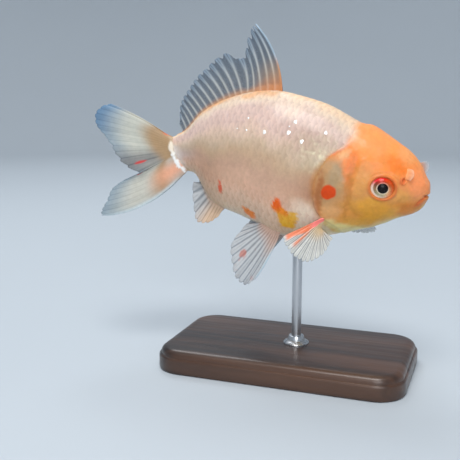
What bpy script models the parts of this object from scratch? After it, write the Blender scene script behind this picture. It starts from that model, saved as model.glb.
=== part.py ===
"""A life-size twin-tailed goldfish on a plain display stand.

The fish is drawn straight in its own axes, in millimetres: x forward from the middle of the
body, y to its left, z up. pose() then bends it, tips its nose down and lifts it over the stand.
The origin is the centre of the stand's underside, with +X the way the fish swims and +Z up.
"""

from math import cos, pi, radians, sin

import bmesh
import bpy
from mathutils import Matrix, Vector

MM = 0.001
GAP = 0.3  # left between neighbours, so that no two solids touch

# The pose
LIFT = 78.0  # from the floor to the middle of the body
NOSE_DOWN = radians(7.0)
BEND = 0.0021  # radians a millimetre: head and tail both swing to the fish's right

# Ribs of the body from the tail root to the lips, in millimetres:
# back x, back z, belly x, belly z, half width, level of the widest point
RIBS = (
    (-50.4, 4.4, -45.0, -7.6, 2.4, 0.00),  # tail root
    (-47.2, 6.2, -41.6, -7.7, 3.2, 0.00),
    (-43.2, 9.3, -38.2, -8.3, 4.4, 0.00),  # thinnest of the tail stock
    (-38.8, 15.4, -34.6, -12.4, 6.3, -0.05),
    (-34.0, 19.4, -30.6, -17.3, 8.4, -0.08),
    (-28.0, 22.9, -25.8, -19.6, 10.5, -0.10),  # vent
    (-19.5, 26.2, -18.0, -21.3, 13.2, -0.12),
    (-10.0, 28.0, -10.0, -23.2, 15.5, -0.14),  # front of the back fin
    (0.0, 27.3, 0.0, -26.0, 16.7, -0.16),
    (10.0, 25.6, 10.0, -25.2, 16.7, -0.16),  # shoulders
    (18.0, 22.8, 18.0, -22.8, 16.0, -0.15),
    (23.5, 20.7, 23.8, -20.5, 15.2, -0.14),  # nape
    (28.0, 20.3, 28.6, -18.5, 14.2, -0.12),  # crown
    (33.0, 18.2, 33.6, -16.4, 13.0, -0.10),
    (38.4, 15.5, 38.4, -13.7, 11.5, -0.08),  # eyes
    (43.0, 13.0, 43.0, -10.9, 9.6, -0.06),
    (46.7, 9.6, 46.8, -9.0, 7.4, -0.04),  # nostrils
    (49.4, 5.9, 49.8, -6.6, 5.1, 0.00),
    (51.1, 3.0, 51.2, -4.0, 2.8, 0.00),
    (51.7, 0.6, 51.6, -1.8, 0.9, 0.00),  # lips
)
AROUND = 32  # faces round the body
LEVEL = ((1, 0, 0), (0, 1, 0), (0, 0, 1))  # the axes of a piece that isn't turned

# Where the body is parted
STOCK_X = -36.5  # the tail stock starts behind the twin fins under it
GILL_X = 13.0  # rearmost point of the gill opening
GILL_SWEEP = 34.0  # how fast its edge sweeps forward above and below that
GILL_REACH = 11.0  # and how far at the nape and the throat
PART_CENTRE = (12.0, 0.0, 2.0)  # where the parting face between head and trunk comes to a point

# Gill covers
COVER_SPAN = (radians(-45), radians(43))  # lower and upper corner, round the body
COVER_FRONT_X = 26.5
COVER_THICK = 1.5
COVER_LIP = 0.35  # how proud its rear edge stands

# Eyes, nostrils and mouth
EYE_X, EYE_ANGLE = 37.8, radians(1.8)
EYE_SIZE = (4.9, 3.9, 4.3)  # half length, half depth, half height
EYE_PROUD = 1.0
NOSTRIL_X, NOSTRIL_ANGLE = 44.2, radians(18)
NOSTRIL_RADIUS = 1.1
FLAP_ROOT_X = 45.2
FLAP_ANGLES = (radians(24), radians(46))
FLAP_LENGTH = 3.3
MOUTH_Z = -1.9
MOUTH_SIZE = (2.6, 4.2, 0.4)  # half length, half width, half height of the slit

# Fins: each is a fan from a root on the body to a row of tips
FIN_THICK = 0.7
FLAP_THICK = 0.6

DORSAL_ROOT_X = (-7.0, -46.0)
DORSAL_TIPS = (
    (-21.1, 51.2),  # top of the front spine
    (-24.0, 45.4),
    (-24.6, 40.4),
    (-27.2, 36.8),  # dip behind the first rays
    (-31.6, 39.4),
    (-36.5, 35.4),
    (-41.5, 29.4),
    (-45.3, 23.6),
    (-47.6, 17.4),
    (-46.9, 9.6),
)
DORSAL_BOW = ((4.4, 0.0, 2.0), (0.8, 0.0, 1.4))  # at the first ray and at the last

TAIL_UPPER_TIPS = (
    (-76.2, 14.4),
    (-80.4, 11.9),
    (-81.3, 7.6),
    (-76.4, 1.6),
    (-74.0, -2.0),
    (-69.4, -4.9),
    (-65.5, -8.0),
    (-61.8, -11.2),  # fork
)
TAIL_LOWER_TIPS = (
    (-61.8, -12.0),
    (-67.3, -16.1),
    (-72.5, -19.8),
    (-74.3, -24.7),
    (-76.2, -30.7),  # lower point
)
TAIL_UPPER_BOW, TAIL_LOWER_BOW = (0.0, 0.0, 3.6), (3.1, 0.0, -8.4)  # of their outer rays
TAIL_TOP_X, TAIL_END_X, TAIL_FOOT_X = -46.9, -47.7, -44.4  # where they spring from
TAIL_SPLAY = 3.2  # sideways, at the tips

ANAL_TIPS = (
    (-27.3, -24.4),
    (-29.6, -25.2),
    (-33.0, -27.3),
    (-36.0, -27.0),
    (-37.8, -22.2),
    (-37.6, -14.5),
)
ANAL_SPLAY = 3.4
ANAL_ROOT_X, ANAL_LEAN = (-27.0, -37.6), radians(9)

PECTORAL_ROOT = ((18.0, radians(-30)), (16.8, radians(-45)))  # x and angle of its two ends
PELVIC_ROOT = ((0.4, radians(-63)), (-7.0, radians(-60)))
PECTORAL_BOW = 1.5  # outwards

PECTORAL_RIGHT_TIPS = (
    (5.9, -22.0, -22.4),
    (8.9, -24.0, -25.5),
    (14.3, -25.0, -28.1),
    (21.2, -24.0, -27.1),
    (24.0, -20.0, -23.4),
    (22.6, -16.2, -19.6),
)
PECTORAL_LEFT_TIPS = (
    (12.0, 26.0, -22.4),
    (16.5, 27.5, -25.4),
    (22.0, 28.5, -26.6),
    (27.6, 27.5, -25.2),
    (30.4, 24.5, -21.8),
    (27.6, 18.6, -18.0),
)
PELVIC_RIGHT_TIPS = (
    (-4.6, -13.0, -41.4),
    (-8.3, -14.0, -44.8),
    (-12.6, -14.5, -43.2),
    (-15.6, -13.4, -36.6),
    (-16.7, -11.4, -30.0),
    (-13.6, -8.0, -23.9),
)
PELVIC_LEFT_TIPS = (
    (-10.5, 11.6, -41.4),
    (-14.0, 12.4, -43.6),
    (-17.4, 12.6, -42.0),
    (-19.4, 12.0, -36.6),
    (-19.2, 10.6, -30.6),
    (-15.6, 8.4, -24.2),
)

# Stand
BASE_SIZE = (96.0, 54.0, 9.0)
BASE_CORNER = 11.0
BASE_EDGE = 1.0
ROD_X, ROD_RADIUS = 2.8, 1.9
SOCKET_RADIUS, SOCKET_HEIGHT = 5.0, 3.0

# Colour, roughness and metallic value of each finish
FINISHES = {
    "orange_skin": ((0.86, 0.36, 0.12), 0.35, 0.0),
    "pale_skin": ((0.84, 0.68, 0.60), 0.35, 0.0),
    "eye": ((0.75, 0.30, 0.18), 0.10, 0.0),
    "fin": ((0.62, 0.66, 0.72), 0.40, 0.0),
    "dark_wood": ((0.06, 0.04, 0.03), 0.40, 0.0),
    "steel": ((0.60, 0.60, 0.62), 0.30, 1.0),
}


# ---- the scene ---------------------------------------------------------------------------


def clear_scene():
    for obj in list(bpy.data.objects):
        bpy.data.objects.remove(obj)


def new_collection(name):
    collection = bpy.data.collections.new(name)
    bpy.context.scene.collection.children.link(collection)
    return collection


def finish(name):
    """The finish's material, made the first time that it is asked for."""
    if name in bpy.data.materials:
        return bpy.data.materials[name]
    colour, roughness, metallic = FINISHES[name]
    material = bpy.data.materials.new(name)
    material.use_nodes = True
    shader = material.node_tree.nodes["Principled BSDF"]
    shader.inputs["Base Color"].default_value = (*colour, 1.0)
    shader.inputs["Roughness"].default_value = roughness
    shader.inputs["Metallic"].default_value = metallic
    return material


def add_part(name, bm, finish_name):
    """Turns a bmesh into a named object of the goldfish, with its faces pointing out."""
    bm.normal_update()
    bmesh.ops.recalc_face_normals(bm, faces=bm.faces)
    mesh = bpy.data.meshes.new(name)
    bm.to_mesh(mesh)
    bm.free()
    mesh.materials.append(finish(finish_name))
    mesh.shade_smooth()
    mesh.set_sharp_from_angle(angle=radians(40))
    obj = bpy.data.objects.new(name, mesh)
    parts.objects.link(obj)
    return obj


def as_cutter(obj):
    parts.objects.unlink(obj)
    cutters.objects.link(obj)
    obj.hide_render = True
    obj.display_type = "WIRE"
    return obj


def cut(obj, cutter):
    modifier = obj.modifiers.new("cut_" + cutter.name, "BOOLEAN")
    modifier.operation = "DIFFERENCE"
    modifier.solver = "EXACT"
    modifier.object = cutter


def thicken(obj, thickness, offset):
    """Gives a sheet its thickness: offset 0 is half to each side, -1 all of it inwards."""
    modifier = obj.modifiers.new("thickness", "SOLIDIFY")
    modifier.thickness = thickness * MM
    modifier.offset = offset


# ---- curves and the shape of the body ----------------------------------------------------


def spline(points, t):
    """A smooth curve through the points, with t from 0 at the first to 1 at the last."""
    last = len(points) - 1
    i = min(int(t * last), last - 1)
    u = t * last - i
    a, b = Vector(points[i]), Vector(points[i + 1])
    before = Vector(points[i - 1]) if i > 0 else 2 * a - b
    after = Vector(points[i + 2]) if i + 2 <= last else 2 * b - a
    return (
        2 * a
        + (b - before) * u
        + (2 * before - 5 * a + 4 * b - after) * u * u
        + (3 * a - before - 3 * b + after) * u**3
    ) / 2


def mix(a, b, t):
    return a + (b - a) * t


def station_where(ahead):
    """The station, from 0 at the tail root to 1 at the lips, where ahead(station) turns true."""
    low, high = 0.0, 1.0
    for _ in range(24):
        middle = (low + high) / 2
        low, high = (low, middle) if ahead(middle) else (middle, high)
    return low


def station_at(x):
    """The station whose rib crosses the middle of the body at x."""

    def ahead(station):
        back_x, _, belly_x, *_ = spline(RIBS, station)
        return (back_x + belly_x) / 2 >= x

    return station_where(ahead)


def skin(station, angle):
    """A point of the body: angle 90 degrees is the back, 0 the left flank, -90 the belly."""
    back_x, back_z, belly_x, belly_z, half_width, widest = spline(RIBS, station)
    level = sin(angle) + widest * cos(angle) ** 2
    return Vector(
        (
            mix(belly_x, back_x, (1 + level) / 2),
            half_width * cos(angle),
            mix(belly_z, back_z, (1 + level) / 2),
        )
    )


def outward(station, angle):
    """The direction that the body's skin faces."""
    step = 1e-3
    a, b = max(0.0, station - step), min(1.0, station + step)
    along = skin(b, angle) - skin(a, angle)
    around = skin(station, angle + step) - skin(station, angle - step)
    return along.cross(around).normalized() * -1


def over_skin(station, angle, height):
    return skin(station, angle) + outward(station, angle) * height


def pose(point):
    """From the straight fish, in millimetres, to its place over the stand, in metres."""
    x, y, z = point
    turn = BEND * x
    along = sin(turn) / BEND + y * sin(turn)
    aside = (cos(turn) - 1) / BEND + y * cos(turn)
    forward = along * cos(NOSE_DOWN) + z * sin(NOSE_DOWN)
    up = z * cos(NOSE_DOWN) - along * sin(NOSE_DOWN)
    return Vector((forward, aside, up + LIFT)) * MM


def on(side, angle):
    """The angle, given for the left flank, on either side of the body."""
    return angle if side == "left" else pi - angle


def sideways(side):
    return 1 if side == "left" else -1


# ---- makers ------------------------------------------------------------------------------


def loft(name, low, high, low_centre, high_centre, steps, finish_name):
    """A closed length of the body between two edges, each a station for every angle."""
    bm = bmesh.new()
    angles = [2 * pi * k / AROUND for k in range(AROUND)]
    rings = []
    for step in range(steps + 1):
        t = step / steps
        ring = [skin(mix(low(a), high(a), t), a) for a in angles]
        rings.append([bm.verts.new(pose(p)) for p in ring])
    ends = (bm.verts.new(pose(low_centre)), bm.verts.new(pose(high_centre)))
    for k in range(AROUND):
        n = (k + 1) % AROUND
        for ring, following in zip(rings, rings[1:]):
            bm.faces.new((ring[k], ring[n], following[n], following[k]))
        bm.faces.new((rings[0][n], rings[0][k], ends[0]))
        bm.faces.new((rings[-1][k], rings[-1][n], ends[1]))
    return add_part(name, bm, finish_name)


def sheet(name, across, along, place, finish_name):
    """A grid of faces laid out by place(u, v), with u and v from 0 to 1."""
    bm = bmesh.new()
    bmesh.ops.create_grid(bm, x_segments=across, y_segments=along, size=0.5)
    for vert in bm.verts:
        vert.co = pose(place(vert.co.x + 0.5, vert.co.y + 0.5))
    return add_part(name, bm, finish_name)


def fan(name, root, tips, bow, rays, rows):
    """A fin: rays run from root(t) to tips(t), bent towards bow(t) half way."""

    def place(t, r):
        start, end = root(t), tips(t)
        middle = (start + end) / 2 + bow(t)
        return start * (1 - r) ** 2 + middle * 2 * r * (1 - r) + end * r * r

    fin = sheet(name, rays, rows, place, "fin")
    thicken(fin, FIN_THICK, 0)
    return fin


def body_root(side, start, end, clear):
    """A fin's root along the body, between two places given as x and angle."""
    stations = station_at(start[0]), station_at(end[0])

    def root(t):
        angle = on(side, mix(start[1], end[1], t))
        return over_skin(mix(*stations, t), angle, clear)

    return root


def straight(t):
    return Vector((0.0, 0.0, 0.0))


def bowed(first, last):
    return lambda t: mix(Vector(first), Vector(last), t)


def ball(name, centre, half_sizes, axes, finish_name, segments, rings):
    """An ellipsoid whose own axes point along the three given directions."""
    bm = bmesh.new()
    bmesh.ops.create_uvsphere(bm, u_segments=segments, v_segments=rings, radius=1.0)
    turn = Matrix(axes).transposed()
    for vert in bm.verts:
        stretched = Vector(c * h for c, h in zip(vert.co, half_sizes))
        vert.co = pose(centre + turn @ stretched)
    return add_part(name, bm, finish_name)


# ---- the fish ----------------------------------------------------------------------------


def gill_edge(angle):
    """x of the gill opening's edge at this angle round the body."""
    sweep = GILL_SWEEP * (1 - abs(cos(angle)))
    return GILL_X + sweep / (1 + (sweep / GILL_REACH) ** 4) ** 0.25


def flat(value):
    return lambda angle: value


def body():
    """Tail stock, trunk and head, parted by thin cuts."""
    half_gap = Vector((GAP / 2, 0, 0))
    centre = Vector(PART_CENTRE)
    stock = station_at(STOCK_X - GAP / 2), station_at(STOCK_X + GAP / 2)
    stock_centre = (skin(stock[0], pi / 2) + skin(stock[0], -pi / 2)) / 2
    root_centre = (skin(0, pi / 2) + skin(0, -pi / 2)) / 2
    lip_centre = skin(1, 0)
    lip_centre.y = 0
    loft("tail_stock", flat(0.0), flat(stock[0]), root_centre, stock_centre, 7, "pale_skin")
    loft(
        "trunk",
        flat(stock[1]),
        lambda a: station_at(gill_edge(a) - GAP / 2),
        stock_centre + 2 * half_gap,
        centre - half_gap,
        17,
        "pale_skin",
    )
    return loft(
        "head",
        lambda a: station_at(gill_edge(a) + GAP / 2),
        flat(1.0),
        centre + half_gap,
        lip_centre + half_gap,
        17,
        "orange_skin",
    )


def gill_cover(side, head):
    """A thin plate over the gills, let into the side of the head."""

    def outline(u, v, margin):
        angle = mix(COVER_SPAN[0] - margin / 15, COVER_SPAN[1] + margin / 15, v)
        rear = gill_edge(angle) + 2 * GAP - 6 * margin
        front = mix(COVER_FRONT_X, gill_edge(angle), abs(2 * v - 1) ** 3 * 0.4) + margin
        x = mix(rear, front, u)
        return station_at(x), on(side, angle)

    def plate(u, v):
        return over_skin(*outline(u, v, 0.0), COVER_LIP * (1 - u) ** 2)

    def pocket(u, v):
        return over_skin(*outline(u, v, GAP), 3.0)

    cover = sheet("gill_cover_" + side, 8, 9, plate, "orange_skin")
    hollow = as_cutter(sheet("gill_pocket_" + side, 8, 9, pocket, "orange_skin"))
    inward = -1 if faces_out(cover, side) else 1
    thicken(cover, COVER_THICK, inward)
    thicken(hollow, 3.0 + COVER_THICK + GAP, inward)
    cut(head, hollow)


def faces_out(obj, side):
    """Whether a sheet's faces point away from the middle of the fish."""
    return sum(face.normal.y for face in obj.data.polygons) * sideways(side) > 0


def eye(side, head):
    """A ball set into a socket, looking out square to the side of the head."""
    station = station_at(EYE_X)
    angle = on(side, EYE_ANGLE)
    out = outward(station, angle)
    up = (Vector((0, 0, 1)) - out * out.z).normalized()
    axes = (up.cross(out), out, up)
    centre = over_skin(station, angle, EYE_PROUD - EYE_SIZE[1])
    ball("eye_" + side, centre, EYE_SIZE, axes, "eye", 20, 10)
    socket_size = [half + GAP for half in EYE_SIZE]
    socket = ball("eye_socket_" + side, centre, socket_size, axes, "eye", 20, 10)
    cut(head, as_cutter(socket))


def nostril(side, head):
    """A pit in the snout with a thin upright flap of skin in front of it."""
    pit_centre = skin(station_at(NOSTRIL_X), on(side, NOSTRIL_ANGLE))
    pit = ball("pit_" + side, pit_centre, (NOSTRIL_RADIUS,) * 3, LEVEL, "eye", 10, 6)
    cut(head, as_cutter(pit))
    station = station_at(FLAP_ROOT_X)

    def place(u, v):
        angle = on(side, mix(*FLAP_ANGLES, u))
        root = over_skin(station, angle, GAP + FLAP_THICK / 2)
        reach = FLAP_LENGTH * v * (1 - 0.35 * (2 * u - 1) ** 2)
        return root + outward(station, angle) * reach + Vector((0.25, 0, 0)) * reach * v

    flap = sheet("nostril_flap_" + side, 4, 3, place, "fin")
    thicken(flap, FLAP_THICK, 0)


def mouth(head):
    """The slit between the lips."""
    tip = skin(1, 0)
    centre = Vector((tip.x, 0, MOUTH_Z))
    cut(head, as_cutter(ball("mouth_slit", centre, MOUTH_SIZE, LEVEL, "eye", 16, 6)))


def dorsal_fin():
    start, end = DORSAL_ROOT_X
    root = body_root("left", (start, pi / 2), (end, pi / 2), GAP)
    tips = [(x, 0, z) for x, z in DORSAL_TIPS]
    fan("dorsal_fin", root, lambda t: spline(tips, t), bowed(*DORSAL_BOW), 19, 5)


def tail_fin(side):
    """One of the two tails, an upper and a lower lobe."""
    clear = GAP + FIN_THICK / 2

    def root(start, end):
        path = body_root(side, start, end, clear)
        return lambda t: path(t) - Vector((clear, 0, 0))

    def tips(outline):
        points = [(x, sideways(side) * TAIL_SPLAY, z) for x, z in outline]
        return lambda t: spline(points, t)

    fan(
        f"tail_fin_{side}_upper",
        root((TAIL_TOP_X, radians(78)), (TAIL_END_X, radians(6))),
        tips(TAIL_UPPER_TIPS),
        bowed(TAIL_UPPER_BOW, (0, 0, 0)),
        8,
        6,
    )
    fan(
        f"tail_fin_{side}_lower",
        root((TAIL_END_X, radians(-8)), (TAIL_FOOT_X, radians(-76))),
        tips(TAIL_LOWER_TIPS),
        bowed((0, 0, 0), TAIL_LOWER_BOW),
        8,
        6,
    )


def anal_fin(side):
    """One of the pair behind the vent."""
    low = -pi / 2 + ANAL_LEAN
    root = body_root(side, (ANAL_ROOT_X[0], low), (ANAL_ROOT_X[1], low), GAP + FIN_THICK / 2)
    points = [(x, sideways(side) * ANAL_SPLAY, z) for x, z in ANAL_TIPS]
    fan("anal_fin_" + side, root, lambda t: spline(points, t), straight, 8, 4)


def paired_fin(name, side, root_ends, tips, bow, rays):
    root = body_root(side, *root_ends, GAP + FIN_THICK / 2)
    aside = Vector((0, sideways(side) * bow, 0))
    fan(f"{name}_{side}", root, lambda t: spline(tips, t), lambda t: aside, rays, 5)


# ---- the stand ---------------------------------------------------------------------------


def stand():
    """A flat base with round corners, and one rod up to the belly."""
    length, width, height = BASE_SIZE
    bm = bmesh.new()
    bmesh.ops.create_cube(bm, size=1.0)
    bmesh.ops.scale(bm, verts=bm.verts, vec=Vector(BASE_SIZE) * MM)
    bmesh.ops.translate(bm, verts=bm.verts, vec=Vector((0, 0, height / 2 * MM)))
    upright = [e for e in bm.edges if abs(e.verts[0].co.z - e.verts[1].co.z) > MM]
    bmesh.ops.bevel(
        bm, geom=upright, offset=BASE_CORNER * MM, segments=6, profile=0.5, affect="EDGES"
    )
    rim = [e for e in bm.edges if all(v.co.z > (height - 0.1) * MM for v in e.verts)]
    bmesh.ops.bevel(bm, geom=rim, offset=BASE_EDGE * MM, segments=2, profile=0.5, affect="EDGES")
    add_part("stand_base", bm, "dark_wood")

    foot = (height + GAP) * MM
    belly = belly_over(ROD_X) - GAP * MM
    rod = round_bar("stand_rod", ROD_RADIUS, foot, belly, 16)
    rod.location.x = ROD_X * MM
    socket = round_bar("stand_socket", SOCKET_RADIUS, foot, foot + SOCKET_HEIGHT * MM, 24)
    socket.location.x = ROD_X * MM
    bore = as_cutter(round_bar("rod_bore", ROD_RADIUS + GAP, 0.0, 4 * foot, 16))
    bore.location.x = ROD_X * MM
    cut(socket, bore)


def round_bar(name, radius, bottom, top, segments):
    bm = bmesh.new()
    bmesh.ops.create_cone(
        bm,
        cap_ends=True,
        segments=segments,
        radius1=radius * MM,
        radius2=radius * MM,
        depth=top - bottom,
    )
    bmesh.ops.translate(bm, verts=bm.verts, vec=Vector((0, 0, (bottom + top) / 2)))
    return add_part(name, bm, "steel")


def belly_over(x):
    """The lowest height of the posed belly over a rod that stands at x."""

    def height(edge):
        station = station_where(lambda s: pose(skin(s, -pi / 2)).x >= edge * MM)
        return pose(skin(station, -pi / 2)).z

    return min(height(x - ROD_RADIUS), height(x + ROD_RADIUS))


# ---- building ----------------------------------------------------------------------------

clear_scene()
parts = new_collection("goldfish")
cutters = new_collection("cutters")
head = body()
for side in ("left", "right"):
    gill_cover(side, head)
    eye(side, head)
    nostril(side, head)
    tail_fin(side)
    anal_fin(side)
mouth(head)
dorsal_fin()
paired_fin("pectoral_fin", "right", PECTORAL_ROOT, PECTORAL_RIGHT_TIPS, PECTORAL_BOW, 12)
paired_fin("pectoral_fin", "left", PECTORAL_ROOT, PECTORAL_LEFT_TIPS, PECTORAL_BOW, 12)
paired_fin("pelvic_fin", "right", PELVIC_ROOT, PELVIC_RIGHT_TIPS, 0.0, 10)
paired_fin("pelvic_fin", "left", PELVIC_ROOT, PELVIC_LEFT_TIPS, 0.0, 10)
stand()
print(len(parts.objects), "parts")
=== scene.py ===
# %% [markdown]
# # A goldfish held over its stand
#
# This lesson dresses a imported model of a twin-tailed goldfish. The solids that come with it fix
# every size and place. What is made here is what the eye enjoys: wet skin, rows of pearly scales,
# fins with branching rays, and a living eye. All of it is mesh and nodes, with no pictures.
# Loading comes first.

# %% Load the imported model
from math import cos, pi, radians, sin

import bpy
import numpy as np
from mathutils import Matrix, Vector


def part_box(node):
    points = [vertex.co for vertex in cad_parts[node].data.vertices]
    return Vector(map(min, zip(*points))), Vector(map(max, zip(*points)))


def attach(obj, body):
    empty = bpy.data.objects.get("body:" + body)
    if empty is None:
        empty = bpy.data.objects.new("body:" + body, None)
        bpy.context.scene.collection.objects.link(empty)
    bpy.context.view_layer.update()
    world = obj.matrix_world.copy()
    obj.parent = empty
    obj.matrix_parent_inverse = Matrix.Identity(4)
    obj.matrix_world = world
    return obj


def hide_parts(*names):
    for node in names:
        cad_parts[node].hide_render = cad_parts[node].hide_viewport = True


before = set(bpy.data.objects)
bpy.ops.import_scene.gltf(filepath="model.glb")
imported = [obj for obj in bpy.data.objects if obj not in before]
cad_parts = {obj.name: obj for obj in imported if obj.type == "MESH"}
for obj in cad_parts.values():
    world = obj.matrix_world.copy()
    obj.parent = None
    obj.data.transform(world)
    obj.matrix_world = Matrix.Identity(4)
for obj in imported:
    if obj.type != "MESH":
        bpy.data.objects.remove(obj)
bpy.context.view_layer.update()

# %% [markdown]
# ## The camera
#
# The fish is looked at from its right side, a little from the front and a little from above, from
# about thirty centimetres away. A 60 mm lens keeps the perspective of a close portrait without
# swelling the snout. The camera stays level, so the stand's edges stay straight.

# %% Camera
CAMERA_PLACE = (0.07695, -0.28008, 0.11071)
CAMERA_TURN = radians(20.0)       # swung round the fish from square on
CAMERA_DIP = radians(11.07)       # looking down
LENS_MM, SENSOR_MM = 60.0, 36.0
NEAREST_SHOWN = 0.01              # in metres, well short of the fish

camera_data = bpy.data.cameras.new("camera")
camera_data.lens = LENS_MM
camera_data.sensor_width = SENSOR_MM
camera_data.clip_start = NEAREST_SHOWN
camera = bpy.data.objects.new("camera", camera_data)
camera.location = CAMERA_PLACE
camera.rotation_euler = (pi / 2 - CAMERA_DIP, 0.0, CAMERA_TURN)
bpy.context.scene.collection.objects.link(camera)
bpy.context.scene.camera = camera

# %% [markdown]
# ## Making meshes from arrays
#
# Nearly every piece of a fish is a sheet that follows a formula. Its points could be added one by
# one, or a cage could be modelled by hand and subdivided. Here they are worked out as numpy arrays
# and handed to Blender in one go, which is far quicker, and lets each point carry extra values,
# such as its colour, to the material as an attribute.

# %% Faces of a grid
MM = 0.001


def grid_faces(rows, columns, closed=False, first=0, flip=False):
    """Quads between the points of a rows by columns grid; closed joins the last column to the first."""
    row, column = np.meshgrid(
        np.arange(rows - 1), np.arange(columns if closed else columns - 1), indexing="ij"
    )
    following = (column + 1) % columns
    corners = (
        row * columns + column,
        row * columns + following,
        (row + 1) * columns + following,
        (row + 1) * columns + column,
    )
    faces = first + np.stack(corners, -1).reshape(-1, 4)
    return faces[:, ::-1] if flip else faces


print("a grid of 3 rows and 4 columns has", len(grid_faces(3, 4)), "faces")

# %% [markdown]
# A piece is a mesh and an object that shows it. Blender keeps extra values in named attributes.
# A map, which lays the faces out flat, is only made where a finish has to be drawn on one.

# %% From arrays to a piece


def make_piece(name, points, faces, colours=None, values=None, unwrap=None, sharp=None):
    """A smooth mesh object from points in metres, with colours and numbers kept at each point."""
    mesh = bpy.data.meshes.new(name)
    mesh.from_pydata(points.reshape(-1, 3).tolist(), [], [list(map(int, f)) for f in faces])
    if colours is not None:
        tint = mesh.attributes.new("tint", "FLOAT_COLOR", "POINT")
        rgba = np.ones((len(mesh.vertices), 4), np.float32)
        rgba[:, :3] = colours.reshape(-1, 3)
        tint.data.foreach_set("color", rgba.ravel())
    for key, value in (values or {}).items():
        attribute = mesh.attributes.new(key, "FLOAT", "POINT")
        attribute.data.foreach_set("value", value.astype(np.float32).ravel())
    if unwrap is not None:
        layer = mesh.uv_layers.new(name="OFBake")
        layer.data.foreach_set("uv", unwrap.astype(np.float32).ravel())
    mesh.shade_smooth()
    if sharp:
        mesh.set_sharp_from_angle(angle=sharp)
    obj = bpy.data.objects.new(name, mesh)
    bpy.context.scene.collection.objects.link(obj)
    return obj


def triangles(piece):
    """How many triangles the faces of a piece come to."""
    return sum(len(face.vertices) - 2 for face in piece.data.polygons)


print("pieces can be made")

# %% [markdown]
# ## Paints and finishes
#
# A finish is one shader with a few nodes in front of it. Nothing real has one flat colour, so each
# gets soft noise that stays fixed to the piece. A paint could be picked by eye on the shader, but
# written as everyday 0 to 255 numbers and turned into light values, it can be mixed in code too.

# %% Helpers for finishes


def linear(red, green, blue):
    """A paint named in everyday 0 to 255 numbers, as the light values that materials use."""
    c = np.array((red, green, blue)) / 255
    return np.where(c <= 0.04045, c / 12.92, ((c + 0.055) / 1.055) ** 2.4)


def new_material(name):
    material = bpy.data.materials.new(name)
    material.use_nodes = True
    tree = material.node_tree
    return material, tree.nodes, tree.links, tree.nodes["Principled BSDF"]


def noise_node(nodes, links, scale, detail=3.0, stretch=None):
    """Noise that stays fixed to the piece, so many patches to the metre."""
    where = nodes.new("ShaderNodeTexCoord").outputs["Object"]
    if stretch:
        mapping = nodes.new("ShaderNodeMapping")
        mapping.inputs["Scale"].default_value = stretch
        links.new(where, mapping.inputs["Vector"])
        where = mapping.outputs["Vector"]
    noise = nodes.new("ShaderNodeTexNoise")
    noise.inputs["Scale"].default_value = scale
    noise.inputs["Detail"].default_value = detail
    links.new(where, noise.inputs["Vector"])
    return noise


def two_tone(nodes, links, shader, factor, colour_a, colour_b):
    """Base colour from one paint to another by a factor."""
    mixer = nodes.new("ShaderNodeMix")
    mixer.data_type = "RGBA"
    mixer.inputs["A"].default_value = (*colour_a, 1.0)
    mixer.inputs["B"].default_value = (*colour_b, 1.0)
    links.new(factor, mixer.inputs["Factor"])
    links.new(mixer.outputs["Result"], shader.inputs["Base Color"])


print("mid grey gives off", round(float(linear(128, 128, 128)[0]), 3), "of the light that white does")

# %% [markdown]
# ## The studio
#
# The fish stands in a plain pale bowl of a backdrop, whose floor curves up into the wall with no
# corner. A flat plane would show a horizon behind the tail. The fins are nearly white and clear as
# glass, so the bowl is a light grey blue and not white: the rays stay readable against it.

# %% Backdrop
FLOOR_RINGS = (0.001, 0.3, 0.6)
FLOOR_RADIUS, WALL_RADIUS, WALL_HEIGHT = 0.9, 1.3, 1.6
BOWL_SIDES, BOWL_STEPS = 96, 24

turn = np.linspace(0, 2 * pi, BOWL_SIDES, endpoint=False)
lift = np.linspace(0, pi / 2, BOWL_STEPS)
bend_radius = WALL_RADIUS - FLOOR_RADIUS
reach = np.concatenate((FLOOR_RINGS, FLOOR_RADIUS + bend_radius * np.sin(lift), [WALL_RADIUS]))
height = np.concatenate((np.zeros(len(FLOOR_RINGS)), bend_radius * (1 - np.cos(lift)), [WALL_HEIGHT]))
bowl_points = np.stack(
    (reach[:, None] * np.cos(turn), reach[:, None] * np.sin(turn), height[:, None] + 0 * turn), -1
)
bowl_faces = list(grid_faces(len(reach), BOWL_SIDES, closed=True)) + [list(range(BOWL_SIDES))]
backdrop = make_piece("backdrop", bowl_points, bowl_faces)

paper, nodes, links, shader = new_material("backdrop_paper")
paper_noise = noise_node(nodes, links, 3.0)
two_tone(nodes, links, shader, paper_noise.outputs["Fac"], linear(184, 192, 200), linear(190, 198, 205))
shader.inputs["Roughness"].default_value = 0.9
shader.inputs["Specular IOR Level"].default_value = 0.2
backdrop.data.materials.append(paper)
print("backdrop", WALL_RADIUS * 2, "m wide")

# %% [markdown]
# Wet things are seen by what they reflect, so the lamps are large and soft. The one above gives
# the broad sheen that wet scales have, a weak one fills from the camera's side, and one behind
# draws the rim. The room itself adds an even, slightly cool light from everywhere.

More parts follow.
